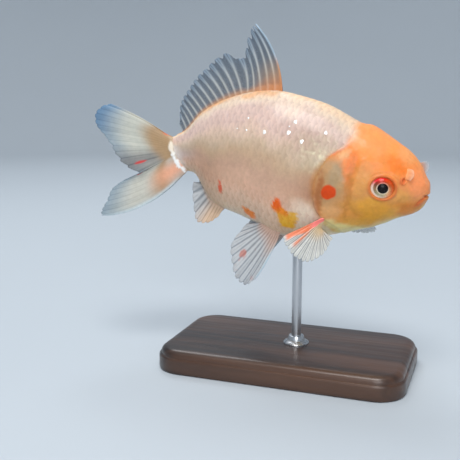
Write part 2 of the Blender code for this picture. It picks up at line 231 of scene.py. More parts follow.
# %% Lamps and room
FISH_MIDDLE = Vector((0, 0, 0.075))
ROOM_TINT, ROOM_LIGHT = (0.93, 0.96, 1.0, 1.0), 0.48
LAMPS = (  # name, place, size, watts, warmth
    ("lamp_above", (0.10, -0.55, 1.20), 0.60, 10.5, (1.0, 0.985, 0.96)),
    ("lamp_front", (0.23, -0.69, 0.34), 0.46, 2.15, (0.97, 0.985, 1.0)),
    ("lamp_rim", (-0.30, 0.42, 0.80), 0.50, 3.0, (0.93, 0.97, 1.0)),
)
for name, place, size, watts, warmth in LAMPS:
    lamp_data = bpy.data.lights.new(name, "AREA")
    lamp_data.shape = "DISK"
    lamp_data.size = size
    lamp_data.energy = watts
    lamp_data.color = warmth
    lamp = bpy.data.objects.new(name, lamp_data)
    lamp.location = place
    lamp.rotation_euler = (FISH_MIDDLE - Vector(place)).to_track_quat("-Z", "Y").to_euler()
    bpy.context.scene.collection.objects.link(lamp)

world = bpy.data.worlds.new("soft_room")
world.use_nodes = True
sky = world.node_tree.nodes["Background"]
sky.inputs["Color"].default_value = ROOM_TINT
sky.inputs["Strength"].default_value = ROOM_LIGHT
bpy.context.scene.world = world
bpy.context.scene.view_settings.view_transform = "Standard"
print(len(LAMPS), "lamps of", sum(row[3] for row in LAMPS), "watts in all")

# %% [markdown]
# ## The fish's own axes
#
# The solids were drawn on a straight fish, in millimetres: x runs forward from the middle of the
# body, y to its left, z up. Twenty ribs give its shape from the tail root to the lips. The same
# ribs are repeated here, so that the skin can follow the body as a smooth surface and not as
# facets. A place on the body is a station, from 0 at the tail root to 1 at the lips, and an
# angle: 90 degrees is the back, 0 the left flank, 180 the right flank, -90 the belly.

# %% The ribs
RIBS = np.array((  # back x, back z, belly x, belly z, half width, level of the widest point
    (-50.4, 4.4, -45.0, -7.6, 2.4, 0.00),
    (-47.2, 6.2, -41.6, -7.7, 3.2, 0.00),
    (-43.2, 9.3, -38.2, -8.3, 4.4, 0.00),
    (-38.8, 15.4, -34.6, -12.4, 6.3, -0.05),
    (-34.0, 19.4, -30.6, -17.3, 8.4, -0.08),
    (-28.0, 22.9, -25.8, -19.6, 10.5, -0.10),
    (-19.5, 26.2, -18.0, -21.3, 13.2, -0.12),
    (-10.0, 28.0, -10.0, -23.2, 15.5, -0.14),
    (0.0, 27.3, 0.0, -26.0, 16.7, -0.16),
    (10.0, 25.6, 10.0, -25.2, 16.7, -0.16),
    (18.0, 22.8, 18.0, -22.8, 16.0, -0.15),
    (23.5, 20.7, 23.8, -20.5, 15.2, -0.14),
    (28.0, 20.3, 28.6, -18.5, 14.2, -0.12),
    (33.0, 18.2, 33.6, -16.4, 13.0, -0.10),
    (38.4, 15.5, 38.4, -13.7, 11.5, -0.08),
    (43.0, 13.0, 43.0, -10.9, 9.6, -0.06),
    (46.7, 9.6, 46.8, -9.0, 7.4, -0.04),
    (49.4, 5.9, 49.8, -6.6, 5.1, 0.00),
    (51.1, 3.0, 51.2, -4.0, 2.8, 0.00),
    (51.7, 0.6, 51.6, -1.8, 0.9, 0.00),
))


def spline(points, t):
    """A smooth curve through the points, with t from 0 at the first to 1 at the last."""
    points = np.asarray(points, float)
    last = len(points) - 1
    padded = np.vstack((2 * points[0] - points[1], points, 2 * points[-1] - points[-2]))
    t = np.asarray(t, float)
    i = np.clip((t * last).astype(int), 0, last - 1)
    u = (t * last - i)[..., None]
    before, a, b, after = (padded[i + k] for k in range(4))
    return (
        2 * a
        + (b - before) * u
        + (2 * before - 5 * a + 4 * b - after) * u**2
        + (3 * a - before - 3 * b + after) * u**3
    ) / 2


print(len(RIBS), "ribs over", round(float(np.ptp(RIBS[:, 0])), 1), "mm")

# %% [markdown]
# A rib is an oval from its back to its belly. Its widest point may lie below the middle, which
# gives the fish its full belly, and the back and belly may lie at different x, so ribs can lean.

# %% Round a rib


def body(station, angle):
    """A point of the plain body, in the fish's own millimetres."""
    ribs = spline(RIBS, np.broadcast_arrays(station, angle)[0])
    back_x, back_z, belly_x, belly_z, half_width, widest = np.moveaxis(ribs, -1, 0)
    share = (1 + np.sin(angle) + widest * np.cos(angle) ** 2) / 2
    return np.stack(
        (
            belly_x + (back_x - belly_x) * share,
            half_width * np.cos(angle),
            belly_z + (back_z - belly_z) * share,
        ),
        -1,
    )


halfway = body(np.array(0.5), np.array(0.0))
print("halfway along, the body is", round(2 * float(halfway[1]), 1), "mm wide")

# %% [markdown]
# Skin, scales and fins all start from the plain body. They need to know which way its surface
# faces, to stand out from it, and which station lies at a given x. Both could be read off the
# solids with ray casts, but a formula is exact and works on whole arrays at once.

# %% Standing on the body
FACING_STEP = 1e-3                            # in stations and in radians

station_table = np.linspace(0, 1, 4001)
table_ribs = spline(RIBS, station_table)
middle_x_table = (table_ribs[:, 0] + table_ribs[:, 2]) / 2


def unit(vectors):
    return vectors / np.maximum(np.linalg.norm(vectors, axis=-1, keepdims=True), 1e-12)


def outward(station, angle):
    """The direction that the body's surface faces."""
    ahead, behind = np.minimum(station + FACING_STEP, 1), np.maximum(station - FACING_STEP, 0)
    along = body(ahead, angle) - body(behind, angle)
    around = body(station, angle + FACING_STEP) - body(station, angle - FACING_STEP)
    return -unit(np.cross(along, around))


def over_body(station, angle, height):
    return body(station, angle) + outward(station, angle) * np.asarray(height)[..., None]


def station_at(x):
    """The station whose rib crosses the middle of the body at x."""
    return np.interp(x, middle_x_table, station_table)


def flank_angle(angle):
    """The same height on the left flank, from -90 to 90 degrees."""
    return np.arcsin(np.clip(np.sin(angle), -1, 1))


print("the middle of the body is at station", round(float(station_at(0.0)), 3))

# %% [markdown]
# The living fish isn't straight. It bends its body to the right and swims a little nose down.
# Everything is made on the straight fish, where left and right match, and pose() puts each point
# in its place: it bends the fish, tips its nose down and lifts it over the stand.

# %% The pose
LIFT = 78.0                                   # from the floor to the fish's own middle
NOSE_DOWN = radians(7.0)
BEND = 0.0021                                 # turn to the millimetre of body, in radians


def pose(points):
    """From the straight fish, in millimetres, to its place over the stand, in metres."""
    x, y, z = np.moveaxis(np.asarray(points, float), -1, 0)
    turned = BEND * x
    along = np.sin(turned) / BEND + y * np.sin(turned)
    aside = (np.cos(turned) - 1) / BEND + y * np.cos(turned)
    forward = along * cos(NOSE_DOWN) + z * sin(NOSE_DOWN)
    up = z * cos(NOSE_DOWN) - along * sin(NOSE_DOWN)
    return np.stack((forward, aside, up + LIFT), -1) * MM


snout = pose(body(np.array(1.0), np.array(0.0)))

# %% [markdown]
# ## Soft shapes for relief and paint
#
# Living surfaces have no hard steps. Both the relief and the markings are built from the same few
# soft shapes: a ramp, a hump, an oval, and a seeded mottling that moves edges about. A painter's
# brush could do the same, but formulas give both sides of the fish the same hand.

# %% Soft shapes
LATTICE_SIDE = 24                             # the mottling repeats after so many patches
MOTTLE_START = 100                            # where in the lattice the origin lies
MOTTLE_GAIN = 1.6
lattice = np.random.default_rng(11).random((LATTICE_SIDE,) * 3) * 2 - 1


def ramp(value, start, full):
    """0 at start, 1 at full and smooth between; full may be the smaller of the two."""
    t = np.clip((value - start) / (full - start), 0.0, 1.0)
    return t * t * (3 - 2 * t)


def hump(value, width):
    """1 at zero, falling away smoothly over about that width."""
    return np.exp(-((value / width) ** 2))


def oval(x, z, centre, size):
    """1 at the centre, falling away smoothly over an oval of about that size."""
    return hump(np.hypot((x - centre[0]) / size[0], (z - centre[1]) / size[1]), 1.0)


def blend(a, b, share):
    """From a to b by share, for colours and points whose last axis holds three numbers."""
    return a + (b - a) * np.asarray(share)[..., None]


def mottle(points, size):
    """Smooth noise from about -1 to 1 with patches of about that size, in the points' own unit."""
    place = np.asarray(points) / size + MOTTLE_START
    cell = np.floor(place).astype(int)
    part = place - cell
    part = part * part * (3 - 2 * part)
    total = 0.0
    for corner in np.ndindex(2, 2, 2):
        share = np.prod(np.where(corner, part, 1 - part), -1)
        index = (cell + corner) % LATTICE_SIDE
        total = total + share * lattice[index[..., 0], index[..., 1], index[..., 2]]
    return total * MOTTLE_GAIN


print("a hump is", round(float(hump(1.0, 1.0)), 2), "high at its width")

# %% [markdown]
# ## Relief of the head
#
# A fish's head isn't smooth. The gill cover is a bony plate with a free rear edge, in front of it
# runs the groove of the cheek bone, the eye sits in a soft rim, the nostril is a small pit, and
# the lips fold over a slit. Sculpting these by hand would work, but a formula for each, added up
# as a height over the plain body, keeps them sharp, easy to tune and the same on both sides. All
# heights and widths here are in millimetres.

# %% Places on the head
GILL_X, GILL_SWEEP, GILL_REACH = 13.0, 34.0, 11.0
EYE_X, EYE_Z, EYE_ANGLE = 37.5, 0.2, radians(2.2)
EYE_HALF = np.array((4.20, 3.80))            # half length and half height of what shows
NOSTRIL = np.array((44.0, 3.6))
CHEEK_GROOVE = ((10.5, 27.9), (8.5, 27.0), (1.5, 26.0), (-5.0, 26.0), (-10.0, 28.1), (-12.5, 31.5))
MOUTH_LINE = ((46.4, -7.0), (47.6, -5.8), (49.1, -4.1), (50.4, -2.5), (51.6, -1.3), (52.2, -0.9))


def gill_edge(angle):
    """x of the gill cover's rear edge at this angle round the body."""
    sweep = GILL_SWEEP * (1 - np.abs(np.cos(angle)))
    return GILL_X + sweep / (1 + (sweep / GILL_REACH) ** 4) ** 0.25


def through(points, value):
    """Reads a curve given as (where, what) pairs."""
    where, what = np.array(sorted(points)).T
    t = np.interp(value, where, np.linspace(0, 1, len(where)))
    return spline(what[:, None], t)[..., 0]


print("the gill cover's edge at mid height is at x =", float(gill_edge(0.0)))

# %% [markdown]
# The eye and the nostril are the finest forms. The eye's opening is sunk into the skin as a
# socket, and a separate globe fills it later. A rim and a brow soften the way in.

# %% Eye and nostril
SOCKET_DEPTH = 1.5
NOSTRIL_HALF, NOSTRIL_DEPTH = (0.62, 0.95), 0.60


def eye_distance(x, z):
    """1 on the edge of the eye's opening, 0 at its middle."""
    return np.hypot((x - EYE_X) / EYE_HALF[0], (z - EYE_Z) / EYE_HALF[1])


def eye_relief(x, z):
    """A socket with a soft rim, and a brow above it."""
    e = eye_distance(x, z)
    socket = -SOCKET_DEPTH * ramp(e, 1.02, 0.90)
    rim = 0.24 * hump(e - 1.12, 0.11) - 0.06 * hump(e - 1.34, 0.10)
    brow = 0.14 * hump(e - 1.55, 0.20) * ramp(z, 1.0, 5.0)
    return socket + rim + brow


def nostril_relief(x, z):
    """A pit with a raised lip behind and below it."""
    dx, dz = x - NOSTRIL[0], z - NOSTRIL[1]
    r = np.hypot(dx / NOSTRIL_HALF[0], dz / NOSTRIL_HALF[1])
    lip = 0.24 * hump(r - 1.35, 0.3) * (0.35 + 0.65 * ramp(dx + 0.6 * dz, 0.8, -0.4))
    return lip - NOSTRIL_DEPTH * ramp(r, 1.15, 0.35)


print("the socket is", round(-float(eye_relief(EYE_X, EYE_Z)), 2), "mm deep")

# %% [markdown]
# The mouth and the gill cover are long forms, so each is drawn across a line: so far above or
# below the line of the lips, and so far ahead of or behind the cover's free edge.

# %% Mouth and gill cover


def mouth_relief(x, z):
    """Two soft lips over a slit that runs back and down from the tip of the snout."""
    above = z - through(MOUTH_LINE, x)
    slit = -0.34 * hump(above, 0.26) * ramp(x, 48.2, 50.0)
    lips = (0.14 * hump(above - 0.9, 0.8) + 0.18 * hump(above + 0.95, 0.75)) * ramp(x, 48.0, 50.0)
    corner = -0.10 * oval(x, z, (48.4, -5.0), (0.9, 0.9))
    fold = -0.05 * hump(above - 2.4, 0.55) * ramp(x, 47.6, 49.0) * ramp(x, 51.2, 50.4)
    jaw = -0.07 * hump(above + 2.5, 0.55) * ramp(x, 46.5, 48.0)
    full = 0.34 * hump(x - 50.6, 1.8) * hump(z - 2.3, 2.5)
    return slit + lips + corner + fold + jaw + full


def gill_relief(x, z, angle):
    """The cover's free edge, the dip behind it and the groove across the cheek."""
    flank = flank_angle(angle)
    span = ramp(flank, radians(-72), radians(-50)) * ramp(flank, radians(62), radians(42))
    ahead = x - gill_edge(angle)
    cover = 0.26 * ramp(ahead, -0.30, 0.60) * np.exp(-np.clip(ahead, 0, None) / 4.5)
    dip = -0.70 * ramp(ahead, 0.20, -0.60) * np.exp(-np.clip(-ahead, 0, None) / 1.6)
    groove = x - through(CHEEK_GROOVE, z)
    shown = ramp(z, -12.5, -10.0) * ramp(z, 10.5, 8.0)
    cheek = (-0.20 * hump(groove, 1.1) + 0.12 * hump(groove - 2.0, 1.4)) * shown
    return (cover + dip) * span + cheek


print("the lips meet at z =", round(float(through(MOUTH_LINE, 51.6)), 2), "in front")

# %% [markdown]
# The rest of the head is three soft forms, and lumps that come and go by chance. Where scales will
# cover the skin, it lies a little deeper, because scales have a thickness of their own.

# %% All of the relief together
COAT_DEPTH = 0.3                              # how far down the skin lies where scales cover it
SOFT_FORMS = (  # centre, size, height
    ((20.0, -1.0), (5.0, 7.0), 0.22),         # the gill plate
    ((33.5, -7.5), (5.0, 4.0), 0.30),         # the muscle of the cheek
    ((43.6, -4.6), (2.6, 2.2), -0.25),        # the hollow above the jaw
)


def relief(station, angle):
    """How far the skin stands out from the plain body."""
    places = body(station, angle)
    x, y, z = np.moveaxis(places, -1, 0)
    side = ramp(np.abs(y), 0.5, 2.0)
    height = (eye_relief(x, z) + nostril_relief(x, z)) * side
    height = height + mouth_relief(x, z) + gill_relief(x, z, angle)
    for centre, size, rise in SOFT_FORMS:
        height = height + rise * oval(x, z, centre, size)
    lumps = 0.09 * mottle(places, 4.2) + 0.05 * mottle(places, 1.7)
    height = height + lumps * ramp(x, 12.0, 20.0)
    return height - COAT_DEPTH * ramp(gill_edge(angle) - x, -0.2, 1.2)


flank_relief = float(relief(np.array(0.3), np.array(0.0)))
print("under the scales the skin lies", round(-flank_relief, 2), "mm deep")

# %% [markdown]
# ## Markings
#
# A goldfish of this kind has a pearly pink body and an orange head. On a live fish the colours
# come from layers of pigment cells, so they run into each other softly and edges are ragged. The
# paint here works the same way: a wash from belly to back, a wash over the head, and then soft
# dabs laid over them, each with a place, a size and a paint. Noise moves every edge a little.

# %% The washes
BODY_WASH = (  # level from belly to back, paint
    (-1.00, linear(228, 198, 164)),
    (-0.80, linear(228, 190, 156)),
    (-0.65, linear(227, 185, 153)),
    (-0.50, linear(229, 185, 154)),
    (-0.35, linear(226, 175, 144)),
    (-0.20, linear(223, 173, 143)),
    (0.00, linear(206, 161, 134)),
    (0.20, linear(200, 164, 132)),
    (0.35, linear(206, 175, 146)),
    (0.50, linear(222, 188, 164)),
    (0.65, linear(220, 185, 169)),
    (0.80, linear(221, 187, 171)),
    (0.92, linear(236, 208, 182)),
    (1.00, linear(244, 204, 166)),
)
HEAD_WASH = (  # the same over the head
    (-1.00, linear(214, 196, 134)),
    (-0.82, linear(222, 168, 82)),
    (-0.52, linear(219, 147, 67)),
    (-0.20, linear(205, 143, 84)),
    (0.15, linear(219, 139, 75)),
    (0.50, linear(235, 139, 66)),
    (1.00, linear(246, 154, 80)),
)


def wash(table, level):
    """The paint of a wash at each level."""
    levels = [row[0] for row in table]
    return np.stack([np.interp(level, levels, [row[1][k] for row in table]) for k in range(3)], -1)


print(len(BODY_WASH) + len(HEAD_WASH), "paints in the washes")

# %% [markdown]
# A dab is an oval of paint with a ragged edge: its distance from the middle, counted in sizes,
# is moved about by the mottling before it is turned into a share of paint.

# %% Laying a dab


def lay(paint, places, dabs):
    """Lays soft dabs of colour over the paint. A centre and a size are x and z."""
    for _, centre, size, colour, strength, ragged, degrees, softness in dabs:
        dx, dz, tilt = places[..., 0] - centre[0], places[..., 2] - centre[1], radians(degrees)
        along = (dx * cos(tilt) + dz * sin(tilt)) / size[0]
        across = (dz * cos(tilt) - dx * sin(tilt)) / size[1]
        edge = np.hypot(along, across) + ragged * mottle(places, min(size) * 0.6)
        share = strength * ramp(edge, 1 + softness / 2, 1 - softness / 2)
        paint = blend(paint, linear(*colour), share)
    return paint


print("dabs can be laid")

# %% [markdown]
# Dabs are laid in order, the wide and faint ones first. The head's are the same on both sides.
# The patches on the flanks differ from side to side, as they do on a real fish.

# %% The dabs
HEAD_DABS = (  # what, centre, size, paint, strength, ragged, tilt in degrees, softness
    ("nape", (24.0, 15.0), (3.4, 8.0), (242, 135, 66), 0.7, 0.2, 0, 1.2),
    ("crown", (31.0, 17.0), (7.0, 5.5), (240, 152, 90), 0.7, 0.2, -20, 1.2),
    ("brow patch", (41.4, 8.4), (4.6, 3.0), (234, 117, 36), 0.75, 0.25, -30, 1.0),
    ("gill cover", (18.6, -0.2), (6.2, 10.3), (181, 141, 96), 0.92, 0.15, 8, 0.9),
    ("cheek bone", (25.0, 6.0), (2.6, 4.6), (224, 119, 55), 0.8, 0.3, 10, 1.1),
    ("cheek bone tail", (22.2, 9.0), (2.6, 1.5), (220, 154, 103), 0.75, 0.3, 30, 1.1),
    ("forehead", (42.6, 11.4), (3.6, 2.0), (228, 158, 104), 0.6, 0.2, -48, 1.2),
    ("muzzle", (48.4, 3.2), (4.2, 5.6), (239, 147, 97), 0.75, 0.2, 0, 1.0),
    ("under the eye", (44.4, -1.8), (2.6, 2.0), (224, 158, 80), 0.65, 0.3, -20, 1.0),
    ("cheek", (35.0, -8.2), (7.4, 4.0), (218, 155, 49), 0.75, 0.25, -8, 1.1),
    ("chin", (47.0, -6.8), (4.4, 3.0), (202, 116, 49), 0.75, 0.25, 35, 1.1),
    ("lip", (50.6, -3.4), (2.4, 1.3), (210, 102, 50), 0.6, 0.2, 38, 0.9),
    ("behind the eye", (29.8, 1.4), (3.2, 5.6), (208, 150, 78), 0.55, 0.2, 0, 1.2),
    # painted shade in the groove of the cheek bone
    ("groove", (26.0, -1.6), (1.3, 8.2), (174, 107, 42), 0.5, 0.3, 0, 1.2),
    ("gill cover middle", (20.4, 1.2), (2.8, 5.0), (164, 139, 105), 0.8, 0.25, 8, 1.1),
    # painted highlight along the ridge at the foot of the gill cover
    ("gill cover foot", (20.6, -11.4), (3.8, 3.4), (223, 169, 115), 0.6, 0.25, 35, 1.2),
    # painted shade along the gill cover's free edge
    ("gill rim", (15.6, -5.6), (1.5, 7.0), (160, 89, 43), 0.75, 0.25, 0, 1.2),
    ("gill rim top", (19.3, 10.4), (3.4, 0.8), (216, 114, 70), 0.8, 0.3, 38, 1.1),
    # painted highlight on the top of the gill cover
    ("gill top pale", (22.6, 10.2), (2.6, 1.2), (238, 188, 134), 0.45, 0.35, 38, 1.0),
    ("throat", (26.0, -17.4), (12.0, 2.2), (234, 223, 160), 0.75, 0.2, -12, 1.0),
    ("nostril", (43.6, 3.3), (1.0, 1.35), (204, 93, 44), 0.7, 0.1, 0, 0.8),
    ("cheek spot", (19.1, -3.9), (2.6, 2.7), (206, 66, 2), 1.0, 0.07, 0, 0.28),
)
RIGHT_DABS = (
    ("cream behind the gill", (10.2, -14.2), (4.8, 5.2), (247, 219, 190), 0.85, 0.3, 20, 1.4),
    ("spot by the vent", (-24.7, -10.4), (0.85, 2.3), (222, 84, 46), 0.95, 0.3, 8, 0.4),
    ("belly streak", (-11.6, -18.1), (3.4, 1.7), (246, 124, 18), 1.0, 0.2, -34, 0.4),
    ("amber patch", (3.8, -16.0), (3.5, 2.3), (245, 165, 51), 1.0, 0.3, -14, 0.4),
    ("amber patch end", (6.6, -15.7), (1.9, 2.5), (247, 180, 68), 1.0, 0.3, 0, 0.4),
    ("amber patch foot", (4.3, -18.1), (2.9, 2.7), (252, 178, 48), 1.0, 0.25, 0, 0.4),
    ("orange patch", (1.6, -13.7), (3.3, 1.5), (246, 136, 24), 1.0, 0.2, -24, 0.5),
    ("red patch", (0.0, -11.5), (1.7, 2.1), (240, 94, 6), 1.0, 0.2, 0, 0.35),
)
LEFT_DABS = (
    ("flank patch", (-13.0, 12.5), (6.5, 4.0), (236, 118, 44), 1.0, 0.3, -20, 0.45),
    ("amber patch", (-5.5, 8.6), (3.0, 3.2), (226, 160, 66), 0.9, 0.3, 0, 0.6),
    ("belly streak", (7.0, -19.0), (5.0, 1.3), (214, 122, 64), 0.95, 0.3, 8, 0.4),
    ("stock patch", (-37.0, -4.0), (2.6, 1.6), (226, 104, 52), 0.9, 0.3, 10, 0.4),
)
print(len(HEAD_DABS), "dabs on the head,", len(RIGHT_DABS), "on the right,", len(LEFT_DABS), "on the left")

# %% [markdown]
# At the end of the tail stock a crescent of guanine, the mirror pigment of fish, shows as a white
# band: its white is partly the pigment and partly a painted highlight on the flare of the tail root.
# It runs over the join of skin and tail, so both are painted by the rule that follows. A line of its
# own could be modelled there, but it would stand proud where the real one lies flush.

# %% The bright crescent
TAIL_BAND = (  # height, x of the middle of the band, its half width
    (-9.0, -41.2, 0.15), (-7.4, -42.9, 0.50), (-6.4, -44.2, 1.10), (-5.0, -45.7, 1.15),
    (-2.7, -47.1, 0.65), (0.0, -48.4, 0.80), (1.5, -49.0, 0.50), (2.8, -49.3, 0.10), (6.0, -49.3, -0.60),
)
# white and cream, partly the pigment and partly a painted highlight
BAND_CREAM, BAND_WHITE = linear(238, 224, 204), linear(252, 250, 246)
BAND_STRENGTH = 0.97


def band_middle(z):
    return through([(row[0], row[1]) for row in TAIL_BAND], z)


def lay_band(paint, places):
    """Lays the crescent, its white partly a painted highlight, over the paint, and says where it is: 1 on
    it and 0 off it.
    """
    x, z = places[..., 0], places[..., 2]
    half = through([(row[0], row[2]) for row in TAIL_BAND], z)
    share = ramp(half + 0.50 * mottle(places, 1.1) - np.abs(x - band_middle(z)), -0.50, 0.45)
    band_paint = blend(BAND_WHITE, BAND_CREAM, ramp(z, -3.0, 0.5))
    return blend(paint, band_paint, BAND_STRENGTH * share), share


print("the crescent is", round(2 * max(row[2] for row in TAIL_BAND), 1), "mm wide at most")

# %% [markdown]
# The body's own paint is the wash with painted shade here and there: darker towards the tail low on
# the flank, by the vent and over the shoulder, and tan behind the gill cover. It is cream at the
# throat, greyer at the end of the tail stock and warm along the ridge of the back, with gold flecks
# behind the gill cover that are painted pale as glints. The head's paint is its wash, its dabs, a
# ring of rust round the eye and a redder line between the lips.

# %% Body and head


def body_paint(places, level):
    """The paint of the body, with painted shade and without its patches, and where gold flecks with
    painted glints lie.
    """
    x, z = places[..., 0], places[..., 2]
    paint = wash(BODY_WASH, level)
    # painted shade: darker towards the tail, low on the flank
    rear = ramp(x, -14.0, -44.0) * ramp(level, 0.5, -0.6)
    paint = blend(paint, paint * np.array((0.86, 0.82, 0.80)), rear)
    throat = ramp(x, 3.0, 11.0) * ramp(level, -0.50, -0.78)
    paint = blend(paint, linear(232, 214, 172), 0.7 * throat)
    # painted shade: darker over the shoulder, toning down the sheen that the lamp above lays there
    shoulder = oval(x, z, (11.0, 12.0), (12.0, 8.0))[..., None]
    paint = paint * (1 - np.array((0.25, 0.28, 0.31)) * shoulder)
    # painted shade: darker low on the flank by the vent
    vent = (hump(x + 31.0, 7.0) * hump(level + 0.35, 0.5))[..., None]
    paint = paint * (1 - np.array((0.20, 0.21, 0.23)) * vent)
    stock_end = hump(x + 44.0, 5.5) * hump(level + 0.05, 0.38)
    paint = blend(paint, linear(196, 184, 178), 0.50 * stock_end)
    ridge = ramp(level, 0.955, 0.998) * ramp(x, -4.0, -9.0)
    paint = blend(paint, linear(240, 168, 112), 0.6 * ridge)
    # gold flecks: pearly scales painted pale, partly their own colour and partly painted glints
    gold = ramp(mottle(places, 1.1), 0.10, 0.5) * oval(x, z, (13.5, 8.5), (6.5, 5.0))
    paint = blend(paint, linear(226, 214, 176), 0.75 * gold)
    # painted shade: a tan wash behind the gill cover
    shade = oval(x, z, (14.5, 6.5), (6.0, 6.5))
    return blend(paint, linear(206, 190, 156), 0.45 * shade), gold


def head_paint(places, level):
    """The paint of the head, the same on both sides."""
    x, z = places[..., 0], places[..., 2]
    paint = lay(wash(HEAD_WASH, level), places, HEAD_DABS)
    ring = hump(eye_distance(x, z) - 1.08, 0.13) * (0.75 + 0.25 * ramp(x - z, 30.0, 42.0))
    paint = blend(paint, linear(206, 102, 46), 0.85 * ring)
    lip_red = hump(z - through(MOUTH_LINE, x), 0.5) * ramp(x, 47.8, 49.6)
    return blend(paint, linear(206, 96, 52), 0.6 * lip_red)


print("body and head can be painted")

# %% [markdown]
# The head's wash meets the body's along the nape and the gill cover's edge. One function serves
# the skin and the scales, so that both always carry the same markings. It also says how much of a
# place is mirror-bright, which the finish will show as a metal's sheen.

# %% One function for all markings
HEAD_LIMIT = (  # height, and the x where the orange ends
    (-25.0, 24.0), (-19.0, 21.0), (-14.0, 15.6), (-9.0, 13.2), (-3.4, 11.8), (3.2, 12.6),
    (8.0, 15.6), (10.2, 18.8), (12.4, 21.6), (15.7, 23.6), (19.9, 23.2), (24.0, 22.8), (30.0, 22.5),
)
BAND_MIRROR, GOLD_MIRROR = 0.10, 0.15


def markings(station, angle):
    """The paint at places on the body, and how much of it is mirror-bright guanine."""
    places = body(station, angle)
    x, y, z = np.moveaxis(places, -1, 0)
    level = np.sin(angle) + 0.05 * mottle(places, 5.0)
    paint, gold = body_paint(places, level)
    ahead = x - through(HEAD_LIMIT, z) + 0.5 * mottle(places, 2.4)
    softness = 1.1 + 1.5 * ramp(z, 8.0, 16.0)
    on_head = ramp(ahead / softness, -1.0, 1.0)
    paint = blend(paint, head_paint(places, level), on_head)

    # painted shade: brown in the dip just behind the gill cover's free edge
    behind = gill_edge(angle) - x
    rim = ramp(behind, -2.4, 0.4) * np.exp(-np.clip(behind, 0, None) / 5.0)
    rim = rim * ramp(level, 0.45, -0.05) * ramp(level, -0.66, -0.34)
    paint = blend(paint, linear(172, 106, 62), 0.70 * rim)
    for dabs, here in ((RIGHT_DABS, y <= 0), (LEFT_DABS, y > 0)):
        paint = np.where(here[..., None], lay(paint, places, dabs), paint)

    # painted sheen: a pale wash just ahead of the tail's crescent
    band_sheen = ramp(x - band_middle(z), 5.6, 0.2) * ramp(z, 3.0, 1.0) * ramp(z, -7.0, -4.5)
    paint = blend(paint, linear(224, 213, 206), 0.85 * band_sheen)
    paint, band = lay_band(paint, places)
    mirror = np.clip(BAND_MIRROR * band + GOLD_MIRROR * gold * (1 - on_head), 0, 1)
    grain = 1 + 0.035 * mottle(places, 2.6) + 0.025 * mottle(places, 0.9)
    return np.clip(paint * grain[..., None], 0, 1), mirror


print("the cheek spot's paint:", markings(station_at(np.array(19.1)), np.array(pi))[0].round(2).tolist())

# %% [markdown]
# ## The skin
#
# One closed skin stands for the head, gill covers, trunk and tail stock, so no seam shows. Five
# skins could meet at seams, but every seam would have to be hidden. It is a tube of rings round
# the body. The rings stand closest on the head, and the points of a ring are closest at eye level,
# because that is where the relief is fine. At the lips and the tail root the rings shrink to a
# rounded end, and a notch across the front parts the lips.

# %% The rings of the skin
AROUND = 250
CROWDING = 0.21                               # how far the points of a ring gather at eye level
STOCK_STATIONS = np.linspace(0.0, 0.5, 110, endpoint=False)
HEAD_STATIONS = np.linspace(0.5, 1.0, 236)
LIP_STEPS, TAIL_STEPS = 9, 7
LIP_DOME, TAIL_DOME = 0.14, 1.5
NOTCH_Z, NOTCH_DEPTH, NOTCH_WIDTH = -1.3, 0.70, 0.42


def rounded_end(ring, facing, steps, dome):
    """Rings that carry the last ring of a tube on to a dome that faces that way."""
    centre = ring.mean(0)
    swing = np.linspace(0, pi / 2, steps + 1)[1:, None, None]
    shrink = np.maximum(np.cos(swing), 0.02)
    return centre + (ring - centre) * shrink + np.array((facing * dome, 0, 0)) * np.sin(swing)


def for_ends(values):
    """Repeats what the first and the last ring carry for the rings of the two rounded ends."""
    return np.concatenate(
        (np.repeat(values[:1], TAIL_STEPS, 0), values, np.repeat(values[-1:], LIP_STEPS, 0))
    )


circle = np.linspace(0, 2 * pi, AROUND, endpoint=False)
skin_angles = circle - CROWDING * np.sin(2 * circle)
skin_stations = np.concatenate((STOCK_STATIONS, HEAD_STATIONS))[:, None]
tube = over_body(skin_stations, skin_angles, relief(skin_stations, skin_angles))
lips = rounded_end(tube[-1], 1, LIP_STEPS, LIP_DOME)
root = rounded_end(tube[0], -1, TAIL_STEPS, TAIL_DOME)[::-1]
skin_points = np.concatenate((root, tube, lips))
in_front = ramp(skin_points[..., 0], 50.0, 51.6)
skin_points[..., 0] -= NOTCH_DEPTH * hump(skin_points[..., 2] - NOTCH_Z, NOTCH_WIDTH) * in_front
skin_rows = len(skin_points)
print(skin_rows, "rings of", AROUND, "points")

# %% [markdown]
# The rings become one closed mesh with a small cap at each end. Its map is the same tube cut along
# one side and laid flat, with the caps as thin strips beside it.

# %% Skin mesh


def tube_faces(rows, columns, first=0, flip=False):
    """The faces of a closed tube of rings, with a cap at each end."""
    faces = grid_faces(rows, columns, True, first, flip).tolist()
    start = list(range(first, first + columns))
    end = [k + (rows - 1) * columns for k in start]
    return faces + ([start, end[::-1]] if flip else [start[::-1], end])


def tube_unwrap(rows, columns):
    """The map places of the corners of a flipped tube's faces, the caps as strips at the side."""
    row, column = np.meshgrid(np.arange(rows - 1), np.arange(columns), indexing="ij")
    corners = ((row + 1, column), (row + 1, column + 1), (row, column + 1), (row, column))
    rings = np.stack([np.stack((c / columns, r / (rows - 1)), -1) for r, c in corners], -2)
    cap = np.stack((np.linspace(0, 1, columns), np.full(columns, 0.985)), -1)
    return np.concatenate((rings.reshape(-1, 2) * (1, 0.98), cap, cap + (0, 0.01)))


skin_paint, skin_mirror = markings(skin_stations, skin_angles)
skin = make_piece(
    "skin", pose(skin_points), tube_faces(skin_rows, AROUND, flip=True), for_ends(skin_paint),
    {"mirror": for_ends(skin_mirror)}, tube_unwrap(skin_rows, AROUND),
)
print("skin:", triangles(skin), "triangles")

